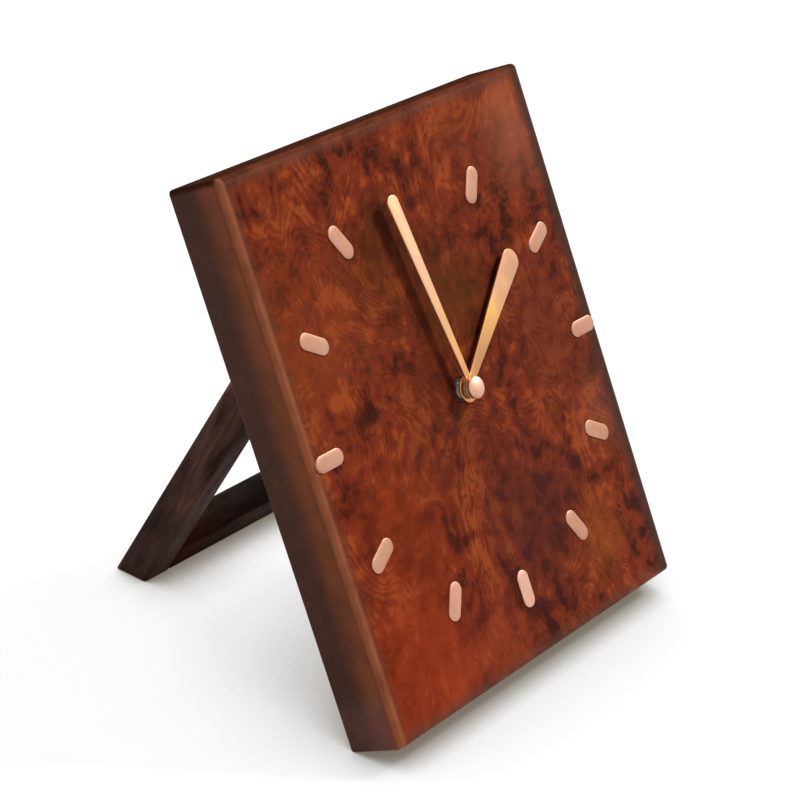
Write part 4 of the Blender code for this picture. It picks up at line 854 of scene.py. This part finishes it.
STAND_WOOD = WoodFinish(
    "stand_wood",
    roughness=0.6,
    specular=0.04,
    dark=shown(45, 28, 23),
    middle=shown(79, 53, 46),
    bright=shown(102, 70, 60),
    grain=(1.0, 1.0, 0.22),
    lean=STAND_PIN,
)
# Painted shade: a darker copy of the stand's wood for the foot rail, which lies in the board's
# shadow and faces the floor.
RAIL_SHADED_WOOD = replace(
    STAND_WOOD,
    name="stand_rail_shaded_wood",
    dark=shown(20, 10, 5),
    middle=shown(42, 24, 16),
    bright=shown(66, 36, 26),
    grain=(0.22, 1.0, 1.0),
    blooms=RAIL_BLOOMS,
)
CAP_METAL = MetalFinish(
    "cap_gilt", roughness=0.5, tone=shown(226, 184, 158), worn=shown(210, 164, 138)
)
SCREW_BRASS = MetalFinish(
    "clip_screw_brass", roughness=0.3, tone=shown(214, 182, 116), worn=shown(184, 148, 88)
)
FINISHES: tuple[Finish, ...] = (
    WoodFinish(
        "board_wood",
        roughness=0.45,
        specular=0.035,
        dark=shown(58, 19, 9),
        middle=shown(113, 42, 19),
        bright=shown(150, 67, 29),
        blooms=BOARD_TONE_AND_SHADOW_BLOOMS,
        edges=BoardEdges(),
    ),
    STAND_WOOD,
    MetalFinish(
        "bar_inlay",
        roughness=0.45,
        tone=shown(198, 150, 125),
        worn=shown(180, 130, 105),
        blooms=BAR_BLOOMS,
    ),
    MetalFinish(
        "hand_gilt",
        roughness=0.4,
        tone=shown(236, 184, 146),
        worn=shown(222, 168, 128),
        blooms=HAND_REFLECTION_BLOOMS,
    ),
    MouldedFinish("case_plastic", tone=shown(40, 38, 37), worn=shown(52, 50, 48)),
    MouldedFinish("gear_nylon", tone=shown(226, 222, 208), worn=shown(212, 206, 190), scale=2200.0),
    MetalFinish("motor_steel", tone=shown(176, 178, 180), worn=shown(150, 150, 152)),
    MetalFinish("coil_copper", roughness=0.4, tone=shown(198, 112, 66), worn=shown(176, 92, 52)),
    MouldedFinish("circuit_resin", tone=shown(28, 92, 52), worn=shown(36, 108, 62)),
    CellFinish(
        "cell_jacket", roughness=0.3, tone=shown(44, 46, 50), worn=shown(54, 56, 60), coat=0.4
    ),
    MetalFinish("hinge_brass", tone=shown(206, 172, 104), worn=shown(178, 140, 80)),
)


class Workshop:
    """The materials by slot, and the way a piece is made and joins the model."""

    def __init__(self) -> None:
        """Build each slot's material."""
        Effects().build()
        self.materials = {Slot(finish.name): finish.make() for finish in FINISHES}

    def hang(
        self,
        name: str,
        points: np.ndarray,
        slot: Slot,
        body: Body,
        *nodes: str,
        closed: bool = False,
        sharp: float = 50.0,
        finish: Finish | None = None,
    ) -> None:
        """Make a piece, dress it and let it ride on a body.

        Args:
            name: The piece's name.
            points: Its world points by row and column.
            slot: Its slot in the record.
            body: The body it moves with.
            nodes: The CAD nodes that it stands for, if any.
            closed: True to join its last row to its first.
            sharp: Edges that bend by more than this many degrees stay sharp.
            finish: A finish of its own in place of the slot's.
        """
        piece = surface(name, points, closed, sharp)
        dress = finish.make() if finish else self.materials[slot]
        piece.data.materials.append(dress)
        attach(piece, body.value)
        if nodes:
            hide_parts(*nodes)
        LOG.info("%s: %d faces on %s", name, len(piece.data.polygons), body.value)

    def dress_nodes(self) -> None:
        """Give every CAD node the material of its slot in the record."""
        for entry in frame["record"]["subparts"]:
            node = frame["nodes"][entry["node"]]
            material = self.materials[Slot(entry["material_slot"])]
            for holder in node.material_slots:
                holder.material = material
        LOG.info("dressed %d CAD nodes", len(frame["nodes"]))


@dataclass
class Assembly:
    """A sub-assembly of the clock, built in a workshop."""

    shop: Workshop

    def build(self) -> None:
        """Make every piece; each sub-assembly has its own."""
        raise NotImplementedError


@dataclass
class DialBoard(Assembly):
    """The leaning board: a rounded front, a pocket in its back and a shaft hole."""

    sizes: BoardSizes = BoardSizes()
    back_round: float = 0.0008
    corner: float = 0.0012
    corner_loss: float = 0.7
    pocket: Row = (-0.0283, 0.0283, -0.028305, 0.028335)
    pocket_corner: float = 0.0006
    pocket_lip: float = 0.0002
    pocket_floor: float = 0.0027
    hole_radius: float = 0.00355
    arc_steps: int = 6
    round_steps: int = 8
    side_steps: int = 10

    def outline(self, inset: float) -> np.ndarray:
        """The board's outline drawn in from its sides by an inset.

        Its corners' radius shrinks in step with the inset.

        Args:
            inset: Distance from the sides.

        Returns:
            Points of the loop.
        """
        across, upward = self.sizes.half_width - inset, self.sizes.half_height - inset
        radius = self.corner * (1 - self.corner_loss * inset / self.sizes.front_round)
        corners = rectangle(-across, across, -upward, upward)
        return rounded_polygon(corners, radius, self.arc_steps, self.side_steps)

    def rows(self) -> np.ndarray:
        """Loops of the whole surface, from the shaft hole round the board and back.

        Over each rounded edge a loop lies in by r (1 - cos t) and away from the face by
        r (1 - sin t), for t from 0 to a quarter turn.

        Returns:
            Points of the dial's frame by row and column.
        """
        round_, thickness = self.sizes.front_round, self.sizes.thickness
        edge = self.outline(0.0)
        hole = ring(self.hole_radius, np.arctan2(edge[:, 1], edge[:, 0]))
        loops = [at_depth(hole, 0.0), at_depth((hole + self.outline(round_)) / 2, 0.0)]
        for inset, fall in quarter_round(round_, round_, self.round_steps)[::-1]:
            loops.append(at_depth(self.outline(inset), fall))
        for inset, fall in quarter_round(self.back_round, self.back_round, self.round_steps // 2):
            loops.append(at_depth(self.outline(inset), thickness - fall))
        corners = rectangle(*self.pocket)
        pocket = rounded_polygon(corners, self.pocket_corner, self.arc_steps, self.side_steps)
        loops += [
            at_depth(offset_loop(pocket, -self.pocket_lip), thickness),
            at_depth(pocket, thickness - self.pocket_lip),
            at_depth(pocket, self.pocket_floor),
            at_depth(hole, self.pocket_floor),
        ]
        return np.array(loops)

    def build(self) -> None:
        """Make the board, flattened where it rests on the floor."""
        points = DIAL.place(self.rows())
        points[..., 2] = np.maximum(points[..., 2], 0.0)
        self.shop.hang(
            "dial_board_wood", points, Slot.BOARD, Body.CLOCK, "dial_board", closed=True, sharp=32.0
        )


@dataclass
class HourBars(Assembly):
    """Inlaid bars with round ends and softly rounded tops, at every hour but twelve."""

    circle: float = 0.0570
    length: float = 0.0106
    width: float = 0.0046
    proud: float = 0.0004
    sunk: float = 0.0009
    edge: float = 0.0003
    crown: Spans = ((0.0009, 0.00008), (0.0014, 0.0001))
    edge_steps: int = 4
    end_steps: int = 14

    def build(self) -> None:
        """Make the eleven bars.

        The top's edge falls away on a quarter circle and its middle is crowned: each loop
        is the bar's outline, drawn in by its inset and set at its depth.
        """
        profile = [(0.0, self.sunk)]
        edge = quarter_round(self.edge, self.edge, self.edge_steps)
        profile += [(inset, fall - self.proud) for inset, fall in edge]
        profile += [(inset, -self.proud - rise) for inset, rise in self.crown]
        loops = [(stadium(self.length, self.width, i, self.end_steps), y) for i, y in profile]
        rows = np.array([at_depth(loop, depth) for loop, depth in loops]) + (0, 0, self.circle)
        for number in range(1, 12):
            name = f"hour_bar_{number:02d}"
            points = DIAL.place(turned_clockwise(rows, math.tau * number / 12))
            self.shop.hang(f"{name}_inlay", points, Slot.BAR, Body.CLOCK, name, sharp=40.0)


@dataclass
class Hand(Assembly):
    """One tapering hand that widens to a round end, on a hub ring."""

    name: str
    body: Body
    length: float
    neck: float
    end: float
    clock_angle: float
    back: float
    bore: float
    thickness: float = 0.0006
    hub_wall: float = 0.0011
    edge: float = 0.00014
    edge_steps: int = 3
    hub_steps: int = 28
    arm_steps: int = 24
    tip_steps: int = 16
    tip_share: float = 0.45

    def outline(self) -> np.ndarray:
        """The hand's outline pointing at twelve, counter-clockwise.

        The arm's half width grows in step with the distance from the axis, its tip is half
        an ellipse, and the hub is an arc about the axis.

        Returns:
            Points of the loop.
        """
        tip = self.tip_share * self.end
        hub = self.bore + self.hub_wall
        root = math.sqrt(hub**2 - (self.neck / 2) ** 2)
        along = np.linspace(root, self.length - tip, self.arm_steps + 1)
        half = self.neck / 2 + (self.end - self.neck) / 2 * along / (self.length - tip)
        turn = np.linspace(0, math.pi, self.tip_steps + 1)[1:-1]
        end = ring(1.0, turn) * (self.end / 2, tip) + (0, self.length - tip)
        right = np.stack([half, along], axis=1)
        start = math.atan2(root, half[0])
        arc = np.linspace(math.pi - start, math.tau + start, self.hub_steps + 1)[1:-1]
        return np.concatenate([right, end, right[::-1] * (-1, 1), ring(hub, arc)])

    def build(self) -> None:
        """Make the hand: its outline round a bore, with a quarter-round front edge."""
        outer = self.outline()
        bore = ring(self.bore, np.arctan2(outer[:, 1], outer[:, 0]))
        front = self.back - self.thickness
        loops = [at_depth(bore, front), at_depth(bore, self.back), at_depth(outer, self.back)]
        for inset, fall in quarter_round(self.edge, self.edge, self.edge_steps):
            loops.append(at_depth(offset_loop(outer, inset), front + fall))
        points = DIAL.place(turned_clockwise(np.array(loops), self.clock_angle))
        self.shop.hang(f"{self.name}_arm", points, Slot.HAND, self.body, self.name, closed=True)


@dataclass
class Hands(Assembly):
    """Both hands and the cap nut that holds them."""

    cap_radius: float = 0.0031
    cap_back: float = -0.0039
    cap_height: float = 0.0021
    cap_rim: float = 0.0007
    cap_edge: float = 0.0002
    cap_bore: float = 0.00165
    cap_bore_depth: float = 0.0012
    cap_eye: float = 0.0000825
    cap_sides: int = 40
    dome_share: float = 0.98
    dome_steps: int = 10

    def build(self) -> None:
        """Make the hands and the nut."""
        hour = {"length": 0.045, "neck": 0.0022, "end": 0.0068, "back": -0.0016, "bore": 0.00255}
        hour["clock_angle"] = math.radians(51.0)
        Hand(self.shop, "hour_hand", Body.HOUR, **hour).build()
        minute = {"length": 0.0565, "neck": 0.0018, "end": 0.0044, "back": -0.003, "bore": 0.00165}
        minute["clock_angle"] = math.radians(-8.7)
        Hand(self.shop, "minute_hand", Body.MINUTE, **minute).build()
        self.build_cap()

    def build_cap(self) -> None:
        """Make the nut; its dome is (r cos t, h sin t) over its rim, up to near its middle."""
        floor, shoulder = self.cap_back - self.cap_bore_depth, self.cap_back - self.cap_rim
        turn = np.linspace(0, self.dome_share * math.pi / 2, self.dome_steps + 1)
        dome = ring(1.0, turn) * (self.cap_radius, self.cap_rim - self.cap_height) + (0, shoulder)
        inner = [
            (self.cap_eye, floor),
            (self.cap_bore, floor),
            (self.cap_bore, self.cap_back),
            (self.cap_radius - self.cap_edge, self.cap_back),
            (self.cap_radius, self.cap_back - self.cap_edge),
        ]
        points = DIAL.place(turned_rows(np.concatenate([inner, dome]), self.cap_sides))
        node = "hand_cap_nut"
        self.shop.hang("hand_cap_dome", points, Slot.HAND, Body.MINUTE, node, finish=CAP_METAL)


@dataclass
class Stand(Assembly):
    """The folding stand: two stiles and a foot rail of square bars."""

    half_width: float = 0.0395
    bar: float = 0.010
    lift: float = 0.0018
    gap: float = 0.0003
    edge: float = 0.0010
    end_edge: float = 0.0004
    open_angle: float = math.radians(55.0)

    def floor(self, depth: np.ndarray) -> np.ndarray:
        """Height of the floor in the stand's frame at a depth out from the pin."""
        lean = -STAND_PIN.angle
        return -(STAND_PIN.origin[2] + math.sin(lean) * depth) / math.cos(lean)

    def stop(self, depth: np.ndarray) -> np.ndarray:
        """Height of the bevel that rests on the board, at a depth out from the pin."""
        reach = math.cos(self.open_angle) * depth + self.lift - self.gap
        return reach / math.sin(self.open_angle)

    def build(self) -> None:
        """Make the three bars.

        A stile runs from the floor to its bevel. Its end loops are drawn in all round, and
        the loops beside them lie as far from the ends.
        """
        for sign, side in ((-1, "left"), (1, "right")):
            near, far = sorted((sign * (self.half_width - self.bar), sign * self.half_width))
            corners = rectangle(near, far, self.lift, self.lift + self.bar)
            section = rounded_polygon(corners, self.edge)
            small = offset_loop(section, self.end_edge)
            rows = [
                (small, self.floor(small[:, 1])),
                (section, self.floor(section[:, 1]) + self.end_edge),
                (section, self.stop(section[:, 1]) - self.end_edge),
                (small, self.stop(small[:, 1])),
            ]
            points = STAND_PIN.place(np.array([np.column_stack(row) for row in rows]))
            name = f"stand_stile_{side}"
            self.shop.hang(f"{name}_bar", points, Slot.STAND, Body.STAND, name)
        self.build_rail()

    def build_rail(self) -> None:
        """Make the foot rail between the stiles: its section carried across."""
        inner, outer = self.lift, self.lift + self.bar
        near, far = self.floor(np.array([inner, outer]))
        top = near + self.bar
        corners = np.array([(inner, near), (outer, far), (outer, top), (inner, top)])
        section = rounded_polygon(corners, self.edge)
        small = offset_loop(section, self.end_edge)
        reach = self.half_width - self.bar - self.gap
        ends = [(-reach, small), (self.end_edge - reach, section)]
        ends += [(reach - self.end_edge, section), (reach, small)]
        rows = [np.column_stack([np.full(len(loop), x), loop]) for x, loop in ends]
        # The rail gets the darker copy of the stand's wood: painted shade.
        points, node = STAND_PIN.place(np.array(rows)), "stand_foot_rail"
        self.shop.hang(f"{node}_bar", points, Slot.STAND, Body.STAND, node, finish=RAIL_SHADED_WOOD)


@dataclass
class Movement(Assembly):
    """What shows of the movement from behind: the knob's grip and the battery."""

    knob_front: Spans = ((0.0001, 0.0183), (0.0058, 0.0183), (0.0061, 0.0186))
    knob_back: Spans = ((0.0061, 0.0211), (0.0057, 0.0215), (0.0047, 0.0215))
    knob_dish: Spans = ((0.0042, 0.02144), (0.0001, 0.02142))
    knob_ridged: tuple[int, int] = (1, 5)
    knob_ridges: int = 28
    ridge_steps: int = 6
    knob_dent: float = 0.045
    cell_base: Spans = ((0.0002, -0.0244), (0.0044, -0.0244), (0.0048, -0.0247))
    cell_jacket: Spans = (
        (0.0059, -0.0247),
        (0.0066, -0.0245),
        (0.0068, -0.0238),
        (0.0068, 0.0217),
        (0.0066, 0.0221),
        (0.0066, 0.0225),
        (0.0068, 0.0229),
        (0.0068, 0.0237),
        (0.0065, 0.0244),
        (0.0059, 0.0246),
    )
    cell_neck: Spans = ((0.0034, 0.0246), (0.0029, 0.0247), (0.00275, 0.0255))
    cell_button: Spans = ((0.0025, 0.0257), (0.0002, 0.0257))
    cell_depth: float = 0.0109
    cell_height: float = -0.019905
    cell_sides: int = 48

    def build(self) -> None:
        """Make the grip and the battery."""
        self.build_knob()
        self.build_battery()

    def build_knob(self) -> None:
        """Make the knob's ridged grip with a dished end.

        The radius is r (1 - d (1 + cos(n a)) / 2) at the angle a, for n ridges of depth d.
        """
        profile = np.array(self.knob_front + self.knob_back + self.knob_dish)
        rows = turned_rows(profile, self.ridge_steps * self.knob_ridges)
        ridged = rows[slice(*self.knob_ridged)]
        angle = np.arctan2(ridged[0, :, 0], ridged[0, :, 2])
        dent = 1 - self.knob_dent * (1 + np.cos(self.knob_ridges * angle)) / 2
        ridged[..., ::2] *= dent[:, None]
        points = DIAL.place(rows + (KNOB_PLACE[0], 0, KNOB_PLACE[1]))
        self.shop.hang("setting_knob_grip", points, Slot.CASE, Body.SETTING, sharp=40.0)

    def build_battery(self) -> None:
        """Make the cell: a profile of its base, its rolled jacket and its button, turned."""
        profile = self.cell_base + self.cell_jacket + self.cell_neck + self.cell_button
        rows = turned_rows(np.array(profile), self.cell_sides)[..., [1, 0, 2]]
        points = DIAL.place(rows + (0.0, self.cell_depth, self.cell_height))
        self.shop.hang("battery_cell", points, Slot.CELL, Body.CLOCK, "battery", sharp=40.0)


@dataclass
class CaseBack(Assembly):
    """Moulded relief on the movement's cover, and the clip screws with slotted heads."""

    cover: float = 0.018
    sunk: float = 0.0001
    rise: float = 0.0002
    rib: float = 0.0008
    rib_steps: int = 3
    frame_box: Row = (-0.0226, 0.0226, -0.0108, 0.0262)
    frame_corner: float = 0.0016
    frame_steps: int = 6
    ring_radius: float = 0.0082
    ring_sides: int = 72
    bar_length: float = 0.0150
    bar_middle: float = 0.0118
    bar_steps: int = 8
    bar_heights: Row = (0.0010, 0.0032, 0.0054, 0.0158, 0.0180, 0.0202)
    screw_across: float = 0.03255
    screw_height: float = 0.004
    screw_shank: Spans = ((0.0001, 0.0126), (0.0009, 0.0132), (0.0009, 0.0194))
    screw_rim: Spans = ((0.0019, 0.0194), (0.0021, 0.0196), (0.0021, 0.0200))
    head_top: float = 0.0205
    head_middle: float = 0.00004
    slot_width: float = 0.0005
    slot_depth: float = 0.0005
    slot_slope: float = 0.00008
    slot_turn: float = math.radians(28.0)
    head_rings: int = 22
    head_sides: int = 96

    def build(self) -> None:
        """Make the relief and the screws."""
        frame_rib = rounded_polygon(rectangle(*self.frame_box), self.frame_corner, self.frame_steps)
        self.add_rib("case_cover_frame", frame_rib)
        turn = np.linspace(0, math.tau, self.ring_sides, endpoint=False)
        self.add_rib("case_cover_ring", ring(self.ring_radius, turn) + KNOB_PLACE)
        for number, height in enumerate(self.bar_heights, 1):
            self.add_bar(f"case_cover_bar_{number}", height)
        for sign, side in ((-1, "left"), (1, "right")):
            self.add_screw(sign, f"clip_screw_{side}")

    def crest(self) -> list[Span]:
        """Insets and depths up a rib's side: w (1 - cos t) / 4 and cover + rise sin t.

        Returns:
            Pairs from the rib's foot to its top.
        """
        rows = quarter_round(self.rib / 4, self.rise, self.rib_steps)
        up = [(inset, self.cover + self.rise - fall) for inset, fall in rows]
        return [(0.0, self.cover - self.sunk), *up]

    def add_rib(self, name: str, outer: np.ndarray) -> None:
        """Raise a closed rib with a softly rounded top inside an outline.

        Args:
            name: The rib's name.
            outer: The outline of the rib's outer side, counter-clockwise.
        """
        inner, crest = offset_loop(outer, self.rib), self.crest()
        loops = [at_depth(offset_loop(outer, inset), depth) for inset, depth in crest]
        loops += [at_depth(offset_loop(inner, -inset), depth) for inset, depth in crest[::-1]]
        points = DIAL.place(np.array(loops))
        self.shop.hang(name, points, Slot.CASE, Body.CLOCK, closed=True)

    def add_bar(self, name: str, height: float) -> None:
        """Raise one straight grip bar with round ends on the cover.

        Args:
            name: The bar's name.
            height: Its place up the board.
        """
        rows = []
        for inset, depth in self.crest():
            upright = stadium(self.bar_length, self.rib, inset, self.bar_steps)
            lying = upright[:, ::-1] * (1, -1) + (self.bar_middle, height)
            rows.append(at_depth(lying, depth))
        self.shop.hang(name, DIAL.place(np.array(rows)), Slot.CASE, Body.CLOCK)

    def add_screw(self, sign: int, name: str) -> None:
        """Make one pan-headed screw with a cut slot.

        Over the head the depth is its shoulder plus the crown times sqrt(1 - (r / R)^2),
        and the slot takes slot_depth away where |u| is under half its width, u being the
        distance across the slot.

        Args:
            sign: -1 for the left screw, 1 for the right one.
            name: The CAD node that it stands for.
        """
        profile = np.array(self.screw_shank + self.screw_rim)
        reach, shoulder = profile[-1]
        radius = np.linspace(reach, self.head_middle, self.head_rings)
        crown = (self.head_top - shoulder) * np.sqrt(1 - (radius / reach) ** 2)
        dome = np.stack([radius, shoulder + crown], axis=1)[1:]
        rows = turned_rows(np.concatenate([profile, dome]), self.head_sides)
        head, turn = rows[len(profile):], sign * self.slot_turn
        across = head[..., 0] * math.cos(turn) + head[..., 2] * math.sin(turn)
        cut = np.clip((self.slot_width / 2 - np.abs(across)) / self.slot_slope + 0.5, 0, 1)
        depth = np.minimum(head[..., 1], self.head_top - self.slot_depth)
        head[..., 1] += cut * (depth - head[..., 1])
        points = DIAL.place(rows + (sign * self.screw_across, 0, self.screw_height))
        look = {"sharp": 40.0, "finish": SCREW_BRASS}
        self.shop.hang(f"{name}_head", points, Slot.BRASS, Body.CLOCK, name, **look)


@dataclass(frozen=True)
class Lamp:
    """One soft, far lamp: where its light comes from, how wide it looks and its strength."""

    name: str
    direction: Point
    spread: float
    power: float

    def build(self) -> None:
        """Shine it."""
        lamp = bpy.data.lights.new(self.name, "SUN")
        lamp.energy = self.power
        lamp.angle = self.spread
        holder = put(self.name, lamp)
        holder.location = Vector(self.direction)
        holder.rotation_euler = holder.location.to_track_quat("Z", "Y").to_euler()


@dataclass
class Studio:
    """The pale floor, soft lamps, white surroundings and the camera."""

    lamps: tuple[Lamp, ...] = (
        Lamp("key_lamp", (0.62, -0.295, 0.723), math.radians(10.0), 3.3),
        Lamp("rear_lamp", (0.35, 0.85, 0.40), math.radians(30.0), 1.8),
    )
    fill: float = 0.28
    floor_half: float = 6.0
    floor_tone: Colour = (0.86, 0.86, 0.86, 1.0)
    floor_roughness: float = 0.9
    floor_glow: float = 1.06
    shadow_share: float = 0.13
    shadow_tint: Colour = (0.20, 0.17, 0.13, 1.0)
    contact_reach: float = 0.065
    contact_band: Span = (0.2, 0.95)
    focal: float = 120.92
    sensor: float = 36.0
    clip: float = 0.01
    camera_shift: Point = (-0.5333, -0.3534, 0.3196)
    camera_right: Point = (0.60524, -0.79181, 0.08197)
    camera_up: Point = (0.31629, 0.33369, 0.88804)
    camera_back: Point = (-0.73051, -0.51156, 0.45240)

    def build(self) -> None:
        """Set up the whole stage."""
        bpy.context.scene.view_settings.view_transform = "Standard"
        self.build_floor()
        self.build_world()
        for lamp in self.lamps:
            lamp.build()
        self.build_camera()

    @staticmethod
    def seen(sketch: Sketch) -> Socket:
        """A value of 1 for rays from the camera, mirrors and clear glass.

        Args:
            sketch: The node tree's sketch.

        Returns:
            The value's socket.
        """
        path = sketch.add("LightPath").outputs
        both = sketch.math("MAXIMUM", path["Is Camera Ray"], path["Is Glossy Ray"])
        return sketch.math("MAXIMUM", both, path["Is Transmission Ray"])

    def build_floor(self) -> None:
        """Lay a pale floor that keeps the clock's shadow."""
        reach = self.floor_half
        mesh = bpy.data.meshes.new("studio_floor")
        corners = np.column_stack([rectangle(-reach, reach, -reach, reach), np.zeros(4)])
        mesh.from_pydata(corners.tolist(), [], [(0, 1, 2, 3)])
        material = bpy.data.materials.new("studio_floor")
        material.use_nodes = True
        sketch, nodes = Sketch(material.node_tree), material.node_tree.nodes
        shader = nodes["Principled BSDF"]
        plain = {"Base Color": self.floor_tone, "Roughness": self.floor_roughness}
        sketch.feed(shader, plain | {"Specular IOR Level": 0.0})
        near = sketch.add("AmbientOcclusion", {"Distance": self.contact_reach}).outputs["AO"]
        tint = sketch.mix(sketch.remap(near, *self.contact_band), self.shadow_tint, WHITE)
        glow = sketch.add("Emission", {"Color": tint, "Strength": self.floor_glow})
        share = sketch.times(self.seen(sketch), 1 - self.shadow_share)
        mixed = sketch.add("MixShader", {0: share, 1: shader.outputs[0], 2: glow.outputs[0]})
        sketch.feed(nodes["Material Output"], {"Surface": mixed.outputs[0]})
        mesh.materials.append(material)
        floor = put("studio_floor", mesh)

    def build_world(self) -> None:
        """Surround the clock with soft light that looks white itself."""
        world = bpy.data.worlds.new("studio")
        world.use_nodes = True
        bpy.context.scene.world = world
        sketch = Sketch(world.node_tree)
        strength = sketch.remap(self.seen(sketch), 0.0, 1.0, self.fill, 1.0)
        sketch.feed(world.node_tree.nodes["Background"], {"Color": WHITE, "Strength": strength})

    def build_camera(self) -> None:
        """Stand the camera where the photograph was taken from."""
        lens = bpy.data.cameras.new("photo_camera")
        lens.lens = self.focal
        lens.sensor_width = self.sensor
        lens.clip_start = self.clip
        camera = put("photo_camera", lens)
        axes = Matrix((self.camera_right, self.camera_up, self.camera_back)).transposed()
        place = Vector(DIAL.origin) + Vector(self.camera_shift)
        camera.matrix_world = Matrix.Translation(place) @ axes.to_4x4()
        bpy.context.scene.camera = camera


def main() -> None:
    """Build the studio and every sub-assembly in order."""
    logging.basicConfig(level=logging.INFO, format="%(name)s: %(message)s")
    Studio().build()
    shop = Workshop()
    shop.dress_nodes()
    for kind in (DialBoard, HourBars, Hands, Stand, Movement, CaseBack):
        kind(shop).build()
        LOG.info("%s is built", kind.__name__)


if __name__ == "__main__":
    main()
